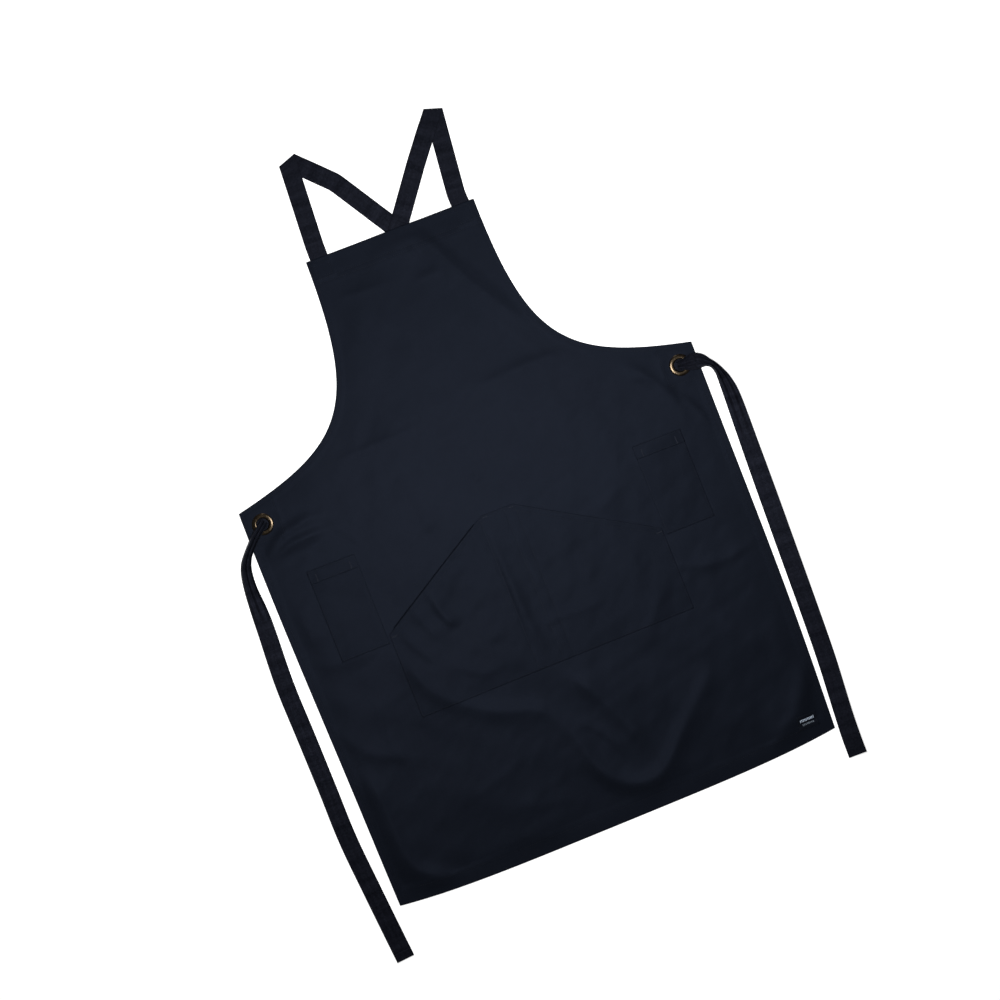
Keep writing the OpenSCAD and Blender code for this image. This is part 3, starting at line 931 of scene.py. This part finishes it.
def make_hems():
    """The turned layers that close the edges from behind."""
    bottom = resampled(hem_curve(), EDGE_STEP)
    side = resampled(side_curve(PATCH_LOW, HEM_CORNER_Y + BOTTOM_HEM), EDGE_STEP)
    top = resampled([(BIB_HALF - BINDING, BIB_TOP), (-BIB_HALF + BINDING, BIB_TOP)], EDGE_STEP)
    turned, doubled = below_apron(TURNED_DEPTH), below_apron(DOUBLED_DEPTH)
    made = []
    for name, node, edge, width, height, thickness, columns, body in (
        ("bottom_hem_turn", "bottom_hem", bottom, BOTTOM_HEM, turned, BACKING, 9, "skirt"),
        ("side_hem_turn_left", "side_hem_left", mirrored(side), SIDE_HEM, turned, BACKING, 5, "skirt"),
        ("side_hem_turn_right", "side_hem_right", side[::-1], SIDE_HEM, turned, BACKING, 5, "skirt"),
        ("bib_hem_turn", "bib_top_hem", top, TOP_HEM, doubled, CLOTH, 12, "bib"),
    ):
        piece = banded_sheet(name, edge, LAYER_INSET, width, height, columns)
        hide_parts(node)
        made.append(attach(second_layer(piece, thickness), body))
    return made


def make_bindings():
    """The bands behind the two curved armhole edges."""
    made = []
    armhole = resampled(ARMHOLE, EDGE_STEP)[1:-1]
    height = below_apron(TURNED_DEPTH)
    for name, edge in (("left", mirrored(armhole)), ("right", armhole[::-1])):
        piece = banded_sheet(f"armhole_binding_{name}", edge, LAYER_INSET, BINDING, height)
        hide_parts(f"lower_binding_{name}", f"upper_binding_{name}")
        made.append(bent_with_bib(second_layer(piece, BACKING)))
    return made


def make_corner_patches():
    """The patches behind the eyelets, each with a hole that clears its back ring."""
    made = []
    top = SIDE_Y - 2 * MM
    patch = closed_loop([
        (PATCH_IN, PATCH_LOW), (side_x(PATCH_LOW) - MM, PATCH_LOW), (WAIST_HALF - MM, top), (PATCH_IN, top),
    ], EDGE_STEP)
    height = below_apron(DOUBLED_DEPTH)
    for side, name in SIDES.items():
        loop = patch if side > 0 else mirrored(patch)[::-1]
        holes = [(EYELETS[side], EYELET_R - 0.8 * MM)]
        piece = filled_sheet(f"corner_backing_{name}", loop, height, 5 * MM, (), holes, 0.3 * MM)
        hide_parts(f"corner_patch_{name}")
        made.append(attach(second_layer(piece, CLOTH), "skirt"))
    return made


def make_eyelets():
    """Each eyelet is a rolled front ring with a barrel, and a flat ring behind."""
    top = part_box("eyelet_right")[1].z
    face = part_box("corner_patch_right")[1].z + CLOTH
    outer, hole = EYELET_R, EYELET_HOLE
    rise = top - face
    shape = [
        (hole, face - 1.1 * MM), (hole - 0.05 * MM, face), (hole + 0.1 * MM, face + 0.5 * rise),
        (hole + 0.45 * MM, face + 0.8 * rise), (hole + 1.1 * MM, face + 0.95 * rise),
        (hole + 2.0 * MM, face + rise), (hole + 3.2 * MM, face + 0.98 * rise),
        (outer - 2.6 * MM, face + 0.9 * rise),
        (outer - 1.5 * MM, face + 0.72 * rise), (outer - 0.6 * MM, face + 0.42 * rise),
        (outer - 0.1 * MM, face + 0.1 * MM), (outer - 0.25 * MM, face - 0.12 * MM),
        (outer - 0.9 * MM, face - 0.1 * MM), (outer - 1.4 * MM, face + 0.25 * rise),
        (hole + 3 * MM, face + 0.55 * rise), (hole + 1.2 * MM, face + 0.4 * rise),
        (hole + 0.75 * MM, face - 0.1 * MM), (hole + 0.75 * MM, face - 1.1 * MM),
    ]
    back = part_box("corner_patch_right")[0].z
    ring_w = outer - 1.2 * MM - hole
    flat_ring = [
        (hole + 0.8 * MM, back + 0.52 * MM), (hole + 0.8 * MM, back - 0.05 * MM),
        (hole + 0.3 * ring_w, back - 0.18 * MM), (hole + 0.7 * ring_w, back - 0.16 * MM),
        (hole + ring_w, back + 0.1 * MM), (hole + ring_w, back + 0.5 * MM),
    ]
    for side, name in SIDES.items():
        for kind, profile, node in (("ring", shape, "eyelet"), ("back_ring", flat_ring, "eyelet_washer")):
            piece = lathed(f"eyelet_{kind}_{name}", profile, EYELETS[side])
            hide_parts(f"{node}_{name}")
            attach(dressed(piece, BRASS, "antique_brass"), "skirt")


# --------------------------------------------------------------------------- pockets
pocket_low, pocket_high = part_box("centre_pocket")
POCKET_HALF = pocket_high.x
FLAT_HALF = 24 * MM
POCKET_SIDE_H = 126 * MM
MOUTH_LOW = np.array([POCKET_HALF, pocket_low.y + POCKET_SIDE_H])
MOUTH_TOP = np.array([FLAT_HALF, pocket_high.y])
# How far a pocket's turned-in edge reaches, and the roll of its edges
TURN_IN = 6 * MM
POCKET_ROLL = 0.9 * MM
# Folds of the centre pocket's own cloth, in the same form as the apron's.
POCKET_FOLDS = [
    (4.4, 10.0, 6.0, [(-140, -80), (-132, -100), (-127, -122), (-118, -141), (-98, -150)]),
    (3.0, 10.0, 6.0, [(-172, -96), (-160, -116), (-150, -142), (-146, -168)]),
    (3.2, 10.0, 6.0, [(-202, -126), (-184, -149), (-167, -176), (-156, -198)]),
    (2.4, 11.2, 6.8, [(-158, -186), (-128, -208), (-100, -226), (-74, -230)]),
    (1.8, 12.5, 7.5, [(-92, -58), (-78, -84), (-72, -118)]),
    (1.5, 10.5, 17.5, [(60, -50), (90, -120), (84, -190)]),
    (1.6, 12.5, 7.5, [(-90, -176), (-64, -186), (-40, -178)]),
    (1.2, 10.5, 17.5, [(150, -110), (160, -160), (150, -220)]),
    (3.2, 8, 12, [(-21, -38), (-20, -90), (-16, -150), (-10, -205), (2, -246)]),
]
PEN_X = (-28 * MM, 10 * MM, 26 * MM)
PEN_ROWS = [np.array([(x, pocket_low.y + 4 * MM), (x, pocket_high.y - 4 * MM)]) for x in PEN_X]


def pocket_loop():
    corners = [
        (-POCKET_HALF, pocket_low.y), (POCKET_HALF, pocket_low.y), MOUTH_LOW, MOUTH_TOP,
        mirrored(MOUTH_TOP), mirrored(MOUTH_LOW),
    ]
    return closed_loop(corners, 3 * MM)


def mouth_row(side, inset):
    way = (MOUTH_LOW - MOUTH_TOP) / np.linalg.norm(MOUTH_LOW - MOUTH_TOP)
    inward = np.array([way[1], -way[0]])
    row = np.array([MOUTH_TOP + way * 3 * MM, MOUTH_LOW - way * 3 * MM]) + inward * inset
    return on_side(row, side)


def sewn_pocket_rows():
    half = POCKET_HALF - SEAM_INSET
    low = pocket_low.y + SEAM_INSET
    top = MOUTH_LOW[1] - SEAM_INSET
    sides = np.array([(-half, top), (-half, low), (half, low), (half, top)])
    upper_y = pocket_high.y - SEAM_INSET
    return [sides, np.array([(-FLAT_HALF, upper_y), (FLAT_HALF, upper_y)])]


MOUTH_ROWS = [mouth_row(side, inset) for side in SIDES for inset in (SEAM_INSET, 9 * MM)]
SEWN_POCKET_ROWS = sewn_pocket_rows()


def pocket_gape(p):
    """How far the slanted mouths stand open."""
    total = np.zeros(len(p))
    for side, open_h in ((-1, 3.6 * MM), (1, 1.3 * MM)):
        mouth = on_side([MOUTH_TOP, MOUTH_LOW], side)
        far, along, _ = sided(p, mouth)
        share = along / np.linalg.norm(MOUTH_LOW - MOUTH_TOP)
        arch = np.sin(math.pi * np.clip(share, 0, 1)) ** 0.8 * (0.75 + 0.25 * np.sin(share * 19 + side))
        total += open_h * arch * np.exp(-((far / (30 * MM)) ** 1.5))
    return total


def pocket_height(p):
    p = np.asarray(p, float)
    sewn_far = np.min([distance(p, row) for row in SEWN_POCKET_ROWS], axis=0)
    free = smooth(sewn_far / (26 * MM))
    turned = np.zeros(len(p))
    for row in SEWN_POCKET_ROWS + MOUTH_ROWS[::2]:
        turned = np.maximum(turned, within(distance(p, row), TURN_IN))
    lowest = apron_height(p) + (CLOTH + POCKET_CLOTH) / 2
    height = lowest + LAYER_GAP + 0.1 * POCKET_CLOTH * turned
    height += fold_heights(as_laid(p), POCKET_FOLDS) * free + pocket_gape(p) * free
    height += (0.5 + 0.5 * waves(p, SEED + 3, 40 * MM, 110 * MM)) * MM * free
    left_half = smooth(-p[:, 0] / (60 * MM))
    height += (0.3 + 0.3 * waves(p, SEED + 4, 18 * MM, 40 * MM)) * MM * free * left_half
    held = np.min([distance(p, row) for row in PEN_ROWS], axis=0)
    height -= 0.6 * (height - lowest - LAYER_GAP) * np.exp(-((held / (3.5 * MM)) ** 2))
    height += pinched(p, SEWN_POCKET_ROWS + PEN_ROWS + MOUTH_ROWS[1::2], 0.06 * MM, 0.12 * MM)
    return np.maximum(height, lowest)


def make_centre_pocket():
    """The pocket's cloth, and the tapes that face its slanted mouths."""
    rows = SEWN_POCKET_ROWS + PEN_ROWS + MOUTH_ROWS
    piece = filled_sheet("centre_pocket_cloth", pocket_loop(), pocket_height, 4.2 * MM, rows, (), POCKET_ROLL)
    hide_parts("centre_pocket")
    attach(second_layer(piece, POCKET_CLOTH), "skirt")
    facings = []
    for side, name in SIDES.items():
        edge = resampled(on_side([MOUTH_TOP, MOUTH_LOW], side), EDGE_STEP)[4:-3]
        edge = edge[::-1] if side > 0 else edge
        # The left facing reaches 1.1 mm out past its mouth's edge, where its painted shadow shows as a dark
        # line.
        near = -1.1 * MM if side < 0 else 0.4 * MM
        facing = banded_sheet(
            f"pocket_mouth_facing_{name}", edge, near, 11 * MM,
            lambda p: pocket_height(p) - 0.92 * POCKET_CLOTH, 4,
        )
        thicken(facing, 0.8 * POCKET_CLOTH)
        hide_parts(f"pocket_mouth_tape_{name}")
        facings.append(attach(dressed(facing, SHADOW_PAINTED_TAPE, "cotton_twill"), "skirt"))
    return piece, facings


HIP_BAND = 20 * MM
# How far a hip pocket's rows of stitches draw it down, and the height of the puckers beside them
HIP_PINCH = (0.1 * MM, 0.12 * MM)


def hip_pocket_box(side):
    low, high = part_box(f"hip_pocket_{SIDES[side]}")
    return np.array([low.x, low.y]), np.array([high.x, high.y])


def hip_row(side):
    """The sewn sides and bottom of a hip pocket."""
    low, high = hip_pocket_box(side)
    left, right = low[0] + SEAM_INSET, high[0] - SEAM_INSET
    bottom, top = low[1] + SEAM_INSET, high[1] - MM
    return np.array([(left, top), (left, bottom), (right, bottom), (right, top)])


def band_rows(side):
    low, high = hip_pocket_box(side)
    left, right = low[0] + SEAM_INSET, high[0] - SEAM_INSET
    levels = (high[1] - SEAM_INSET, high[1] - (HIP_BAND - SEAM_INSET))
    return [np.array([(left, y), (right, y)]) for y in levels]


def hip_height(side):
    """The surface of a hip pocket, as a function of place."""
    top = hip_pocket_box(side)[1][1]

    def height(p):
        p = np.asarray(p, float)
        far = distance(p, hip_row(side))
        free = smooth(far / (18 * MM))
        turned = within(far, TURN_IN)
        gape = 1.5 * MM * np.exp(-(((top - p[:, 1]) / (26 * MM)) ** 2)) * free
        own = (0.3 + 0.3 * waves(p, SEED + 5 + side, 22 * MM, 60 * MM)) * MM * free
        lowest = apron_height(p) + (CLOTH + POCKET_CLOTH) / 2
        surface = lowest + LAYER_GAP + 0.3 * POCKET_CLOTH * turned + gape + own
        return np.maximum(surface + pinched(p, [hip_row(side)], *HIP_PINCH), lowest)

    return height


def band_height(side):
    """The surface of the folded band that lies on a hip pocket's top."""
    base = hip_height(side)

    def height(p):
        pinch = pinched(np.asarray(p, float), band_rows(side), *HIP_PINCH)
        return base(p) + POCKET_CLOTH + LAYER_GAP + pinch

    return height


def box_loop(low, high, step=3 * MM):
    return closed_loop([low, (high[0], low[1]), high, (low[0], high[1])], step)


def make_hip_pockets():
    made = {}
    for side, name in SIDES.items():
        low, high = hip_pocket_box(side)
        pocket = filled_sheet(
            f"hip_pocket_cloth_{name}", box_loop(low, high), hip_height(side), 3.6 * MM,
            [hip_row(side)], (), POCKET_ROLL,
        )
        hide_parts(f"hip_pocket_{name}")
        band_low = np.array([low[0], high[1] - HIP_BAND])
        band = filled_sheet(
            f"hip_pocket_hem_{name}", box_loop(band_low, high), band_height(side), 3 * MM,
            band_rows(side), (), POCKET_ROLL,
        )
        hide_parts(f"hip_pocket_band_{name}")
        for piece in (pocket, band):
            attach(second_layer(piece, POCKET_CLOTH), "skirt")
        made[side] = (pocket, band)
    return made


# ------------------------------------------------------------------- threads and label
def tack_rows(middle, width, tall):
    """The close zigzag rows of one bar tack, standing along Y or lying along X."""
    across, along = sorted((width, tall))
    count = int(along / (0.62 * MM))
    slant = 0.12 * MM
    rows = []
    for number in range(count):
        at = (number + 0.5) / count * along - along / 2
        row = np.array([(-across / 2, at - slant), (across / 2, at + slant)])
        rows.append(middle + (row if tall > width else row[:, ::-1]))
    return rows


def make_threads():
    """Every row of stitches, joined into one piece for each seam that it belongs to."""
    jobs = [
        ("hem_threads", HEM_ROWS + PATCH_ROWS, apron_height, CLOTH, "skirt", ["hem_stitching"]),
        ("bib_hem_threads", BIB_ROWS, apron_height, CLOTH, "bib", ["bib_hem_stitching"]),
        ("pen_slot_threads", PEN_ROWS, pocket_height, POCKET_CLOTH, "skirt", ["pen_slot_stitching"]),
        ("centre_pocket_threads", SEWN_POCKET_ROWS + MOUTH_ROWS, pocket_height, POCKET_CLOTH, "skirt", []),
    ]
    for side, name in SIDES.items():
        line = resampled(hip_row(side), 2 * MM)
        band_low = hip_pocket_box(side)[1][1] - HIP_BAND
        below = np.flatnonzero(line[:, 1] < band_low - MM)
        rows = [line[below[0]:below[-1] + 1]]
        jobs.append((f"hip_pocket_threads_{name}", rows, hip_height(side), POCKET_CLOTH, "skirt", []))
        sides = [line[: below[0] - 1], line[below[-1] + 2:]]
        rows = band_rows(side) + sides
        jobs.append((f"hip_hem_threads_{name}", rows, band_height(side), POCKET_CLOTH, "skirt", []))
    for name, rows, height, cloth, body, nodes in jobs:
        piece = dressed(stitched(name, rows, height, cloth), THREAD, "thread")
        if nodes:
            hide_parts(*nodes)
        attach(piece, body)
    for side, name in SIDES.items():
        piece = stitched(f"armhole_threads_{name}", [ARMHOLE_ROWS[side]], apron_height)
        bent_with_bib(dressed(piece, THREAD, "thread"))


def make_bar_tacks():
    """The dense tacks at the pockets' corners."""
    tack_w = 2.6 * MM
    tack_l = 11 * MM
    thread = (POCKET_CLOTH, tack_w * 1.1, 0.32 * MM)
    pieces = []
    for side, name in SIDES.items():
        low, high = hip_pocket_box(side)
        middle = (low[0] + high[0]) / 2
        rows = []
        for x in (middle - 26 * MM, middle + 26 * MM):
            rows += tack_rows(np.array([x, high[1] - 13 * MM]), tack_w, tack_l)
        pieces.append(stitched(f"hip_bar_tacks_{name}", rows, band_height(side), *thread))
    rows = []
    for side in SIDES:
        for corner in (MOUTH_TOP - [4 * MM, 4 * MM], MOUTH_LOW - [6 * MM, 5 * MM]):
            rows += tack_rows(corner * [side, 1], 8 * MM, tack_w)
    pieces.append(stitched("mouth_bar_tacks", rows, pocket_height, *thread))
    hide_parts("bar_tacks")
    for piece in pieces:
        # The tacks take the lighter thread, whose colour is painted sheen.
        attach(dressed(piece, SHEEN_PAINTED_TACK_THREAD, "thread"), "skirt")


def make_label():
    """A small woven patch with two plain pale bars."""
    low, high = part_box("woven_label")
    low, high = np.array([low.x, low.y]), np.array([high.x, high.y])
    drift = as_laid((low + high)[None] / 2)[0] - (low + high) / 2
    low, high = low - drift, high - drift
    patch_t = 0.45 * MM

    def height(p):
        return apron_height(p) + CLOTH / 2 + patch_t / 2 + 0.02 * MM

    piece = filled_sheet("label_patch", box_loop(low, high, 1.5 * MM), height, 1.6 * MM, (), (), 0.3 * MM)
    thicken(piece, patch_t)
    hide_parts("woven_label")
    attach(dressed(piece, LABEL_CLOTH, "label"), "skirt")
    middle = (low[0] + high[0]) / 2
    row_pitch = 0.42 * MM
    trims = []
    for name, top, count, wide, thread in (
        ("label_upper_bar", 5.2 * MM, 9, 22 * MM, LABEL_PALE),
        ("label_lower_bar", 12.0 * MM, 6, 18 * MM, LABEL_GREY),
    ):
        levels = [high[1] - top - number * row_pitch for number in range(count)]
        rows = [np.array([(middle - wide / 2, y), (middle + wide / 2, y)]) for y in levels]
        bar = stitched(name, rows, height, patch_t, 2.2 * MM, 0.21 * MM)
        trims.append(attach(dressed(bar, thread, "label"), "skirt"))
    inset = 1.3 * MM
    edge = closed(box_loop(low + inset, high - inset, 1.5 * MM))
    threads = stitched("label_threads", [edge], height, patch_t, 2.4 * MM, 0.2 * MM)
    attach(dressed(threads, THREAD, "thread"), "skirt")
    return piece, trims + [threads]


# ----------------------------------------------------------------------------- tapes
def crossing(line, fold):
    """Where a straight line meets a fold line."""
    a, b = line
    c, d = fold
    way, across = b - a, d - c
    t = ((c[0] - a[0]) * across[1] - (c[1] - a[1]) * across[0]) / (way[0] * across[1] - way[1] * across[0])
    return a + way * t


def tape_edges(run, width=TAPE_W):
    normals = side_normals(run)
    return run + normals * width / 2, run - normals * width / 2


def tape_height(flat, over):
    """A tape's height on the table, raised by what it lies over."""
    return TAPE_MID + (0.12 + 0.12 * waves(flat, SEED + 9, 30 * MM, 90 * MM)) * MM + over


def fold_meets(side, leg):
    """Where the two edges of a loop's leg reach the fold line, left edge first."""
    way = leg[1] - leg[0]
    normal = np.array([-way[1], way[0]]) / np.linalg.norm(way) * TAPE_W / 2
    return [crossing(leg[:2] + shift, FOLD_LINES[side]) for shift in (normal, -normal)]


def led_to(edges, end, targets, held):
    """A tape's edges, led to their targets at one end over its last 15 points, and held there."""
    from_end = np.arange(len(edges[0]))
    if end == -1:
        from_end = from_end[::-1]
    slant = smooth((15 + held - from_end) / 15)[:, None]
    return [edge + (target - edge[end]) * slant for edge, target in zip(edges, targets)]


def raised(edge, crossed):
    """A tape's edge in 3-D, where it lies on other tapes: their runs and margins."""
    over = sum((TAPE + LAYER_GAP) * over_tape(edge, run, margin) for run, margin in crossed)
    return np.column_stack([edge, tape_height(edge, over)])


def fold_bend(start, end, outward):
    """The half turn of a tape's edge round its fold."""
    turn = np.linspace(0, math.pi, 9)[1:-1]
    middle = (start[2] + end[2]) / 2
    out = abs(start[2] - end[2]) / 2 * 1.2 * np.sin(turn)
    flat = start[:2] + outward * out[:, None]
    return np.column_stack([flat, middle + (start[2] - middle) * np.cos(turn)])


def shoulder_edges(side):
    """A strap's two edges: from its sewn end up the front leg, over the fold and down behind the bib."""
    front, back = FRONT_LEGS[side], BACK_LEGS[side]
    sewn_x = side * SEWN_X
    sewn = np.array([(sewn_x, BIB_TOP - SEWN_END), (sewn_x, BIB_TOP - 4 * MM)])
    meets = fold_meets(side, front)
    middle = (meets[0] + meets[1]) / 2
    up = rounded(np.vstack([sewn, front[0] + (front[1] - front[0]) * 0.1, middle]), TAPE_STEP)
    behind = BACK_RUNS[side]
    behind = behind[behind[:, 1] > HANDOVER_Y]
    down = rounded(np.vstack([middle, back[1], back[0], behind[6:]]), TAPE_STEP)
    # The left loop's front leg lies on its back leg. The right loop's back leg lies on both others.
    up_on, down_on = [(down, -3 * MM)], []
    if side > 0:
        up_on, down_on = [], [(up, -3 * MM), (BACK_LEGS[-1], 0)]
    up_left, up_right = [raised(edge, up_on) for edge in led_to(tape_edges(up), -1, meets, 0)]
    # Over the fold the tape turns face down, so its left edge comes out on the other side.
    down_edges = led_to(tape_edges(down), 0, meets[::-1], 1)
    down_left, down_right = [raised(edge, down_on) for edge in down_edges]
    fold_way = meets[1] - meets[0]
    outward = np.array([-fold_way[1], fold_way[0]]) / np.linalg.norm(fold_way)
    left = np.vstack([up_left, fold_bend(up_left[-1], down_right[0], outward), down_right])
    right = np.vstack([up_right, fold_bend(up_right[-1], down_left[0], outward), down_left])
    return left, right


def tape_length(left, right):
    return float(arc_length((left + right) / 2)[-1])


def make_shoulder_strap(side):
    name = SIDES[side]
    left, right = shoulder_edges(side)
    piece = finished_tape(ribbon(f"shoulder_strap_{name}", left, right))
    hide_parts(f"strap_end_{name}", f"shoulder_front_{name}", f"shoulder_back_{name}")
    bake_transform(piece)
    tape_length(left, right)
    return piece


def make_back_strap(side):
    """The same tape's lower length, from behind the bib to the far eyelet."""
    name = SIDES[side]
    run = BACK_RUNS[side]
    run = run[run[:, 1] <= HANDOVER_Y + 1.5 * MM]
    last_way = (run[-1] - run[-2]) / np.linalg.norm(run[-1] - run[-2])
    run = resampled(np.vstack([run, run[-1] + last_way * UNDER_EYELET]), TAPE_STEP)
    left, right = tape_edges(run)
    edges = [np.column_stack([flat, tape_height(flat, 0)]) for flat in (left, right)]
    piece = finished_tape(ribbon(f"back_strap_{name}", *edges))
    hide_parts(f"upper_back_strap_{name}", f"lower_back_strap_{name}")
    bent_with_bib(piece)
    tape_length(*edges)
    return piece


# Each tie's stations, in millimetres: the middle of the tape, its visible width and what it rests on.
TIE_STATIONS = {
    -1: [
        (-317.5, 90.5, 11, 1.3), (-322, 86.5, 11.5, 2.2), (-328, 81.5, 12, 4.0), (-334, 76.5, 12, 4.0),
        (-341, 70.5, 12, 2.9), (-349, 62, 12, 2.3), (-357, 53, 12.5, 1.0), (-364, 42, 15, 0),
        (-368.5, 28, 17, 0), (-371, 5, 19.5, 0), (-371, -28, 24.5, 0), (-371.5, -60, 26.2, 0),
        (-374.5, -140, 27, 0), (-372.5, -220, 27, 0), (-370.5, -300, 26.6, 0), (-369, -380, 27, 0),
        (-362.5, -460, 27, 0), (-355.2, -540, 27, 0), (-352.2, -571, 27, 0),
    ],
    1: [
        (317, 87.5, 12, 1.3), (321.5, 87, 13, 2.4), (328, 86, 17, 4.1), (336, 85.2, 22.5, 4.0),
        (345, 84, 25, 2.8), (353, 81.5, 20, 2.0), (360.5, 76.5, 12, 1.2), (366, 71, 10, 0.5),
        (371, 60, 12.5, 0), (374.5, 42, 19.5, 0), (376, 14, 24, 0), (374.5, -60, 26, 0),
        (373, -140, 27, 0), (371.5, -220, 27, 0), (370, -300, 27, 0), (367.8, -380, 27, 0),
        (362.8, -460, 26.4, 0), (361, -500, 27, 0), (360.8, -528.5, 27, 0),
    ],
}


def make_waist_tie(side):
    """A tape that comes up through its eyelet in pleats and opens out along the side."""
    name = SIDES[side]
    stations = hand_drawn(TIE_STATIONS[side], 1.8 * MM)
    run = stations[:, :2]
    width = np.minimum(stations[:, 2], TAPE_W)
    rests = np.maximum(stations[:, 3], 0)
    # A tape narrower than its cloth stands in pleats, as deep as takes up the rest of its width.
    turns = 5
    pleat = np.sqrt(np.maximum(TAPE_W**2 - (width + 1.2 * MM) ** 2, 0)) / turns / 2
    left, right = tape_edges(run, width[:, None])
    middle = rests + TAPE_MID + pleat * 0.96
    # Past its bend the tape ripples, and leans with its left edge up.
    along = arc_length(run)
    open_run = smooth((along - 0.12) / 0.1)
    ripple = (0.25 + 0.25 * np.sin(along / (31 * MM) + side)) * MM * open_run
    lean = (1.6 + 0.9 * np.sin(along / (52 * MM) + 2 * side)) * MM * smooth((along - 0.1) / 0.08)
    edges = [
        np.column_stack([left, middle + ripple + lean]),
        np.column_stack([right, middle + ripple[::-1] * open_run]),
    ]
    piece = finished_tape(ribbon(f"waist_tie_cloth_{name}", *edges, folds=(pleat, turns), columns=41))
    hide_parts(f"waist_tie_{name}")
    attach(piece, f"tie_{name}")
    end = run[-8:]
    end_edges = tape_edges(end, TAPE_W - 1.5 * MM)
    tops = [np.column_stack([flat, np.full(len(end), TAPE_MID + TAPE + 0.35 * MM)]) for flat in end_edges]
    turned_end = finished_tape(ribbon(f"tie_end_turn_{name}", *tops), 0.8 * TAPE)
    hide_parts(f"tie_end_hem_{name}")
    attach(turned_end, f"tie_{name}")
    return piece


# ----------------------------------------------------------------------------- stage
def make_stage():
    half = 12
    corners = [(-half, -half, 0), (half, -half, 0), (half, half, 0), (-half, half, 0)]
    floor = new_piece("floor", corners, [(0, 1, 2, 3)])
    floor.location.z = -0.1 * MM
    shader = Shader("pale_floor")
    grain = shader.noise(shader.add("NewGeometry"), 6.0)
    shader.set(Base_Color=shader.shades(grain, (0.68, 0.68, 0.68), (0.72, 0.72, 0.72)), Roughness=0.9)
    shader.set(Specular_IOR_Level=0.1, Emission_Color=(1, 1, 1, 1), Emission_Strength=0.75)
    floor.data.materials.append(shader.material)


def make_light(name, place, aim, size, power):
    light = bpy.data.lights.new(name, "AREA")
    light.shape = "DISK"
    light.size = size
    light.energy = power
    lamp = bpy.data.objects.new(name, light)
    bpy.context.scene.collection.objects.link(lamp)
    lamp.location = place
    lamp.rotation_euler = (Vector(aim) - Vector(place)).to_track_quat("-Z", "Y").to_euler()
    lamp.visible_camera = False
    return lamp


def make_lights():
    world = bpy.data.worlds.new("studio")
    world.use_nodes = True
    background = world.node_tree.nodes["Background"]
    background.inputs["Color"].default_value = (1, 1, 1, 1)
    background.inputs["Strength"].default_value = 0.14
    bpy.context.scene.world = world
    make_light("overhead_softbox", (0.03, 0.08, 0.86), (0.03, 0.08, 0), 0.3, 11)
    make_light("top_window", (0.15, 1.5, 0.75), (0, 0.05, 0), 0.5, 3)


def make_camera():
    """Straight down from a long way up, turned as in the picture."""
    camera = bpy.data.cameras.new("camera")
    eye = bpy.data.objects.new("camera", camera)
    bpy.context.scene.collection.objects.link(eye)
    view_w = 1.44
    eye_h = 6.0
    turn = -20.9
    camera.sensor_width = 36
    camera.lens = camera.sensor_width * eye_h / view_w
    eye.location = (0.010, -0.002, eye_h)
    eye.rotation_euler = (0, 0, math.radians(turn))
    bpy.context.scene.camera = eye
    bpy.context.scene.view_settings.view_transform = "Standard"


# -------------------------------------------------------------------------- assembly
make_camera()
make_stage()
make_lights()
apron = make_apron_cloth()
apron_parts = make_hems() + make_bindings() + make_corner_patches()
make_eyelets()
centre_pocket, facings = make_centre_pocket()
hip_pockets = make_hip_pockets()
make_threads()
make_bar_tacks()
label, label_parts = make_label()
for tape_side in SIDES:
    make_shoulder_strap(tape_side)
    make_back_strap(tape_side)
    make_waist_tie(tape_side)


def polygon_area(loop):
    x, y = loop.T
    return float(abs((x * np.roll(y, -1) - y * np.roll(x, -1)).sum()) / 2)


body_area = polygon_area(apron_loop(COARSE_STEP))
polygon_area(pocket_loop())
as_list(label_parts)
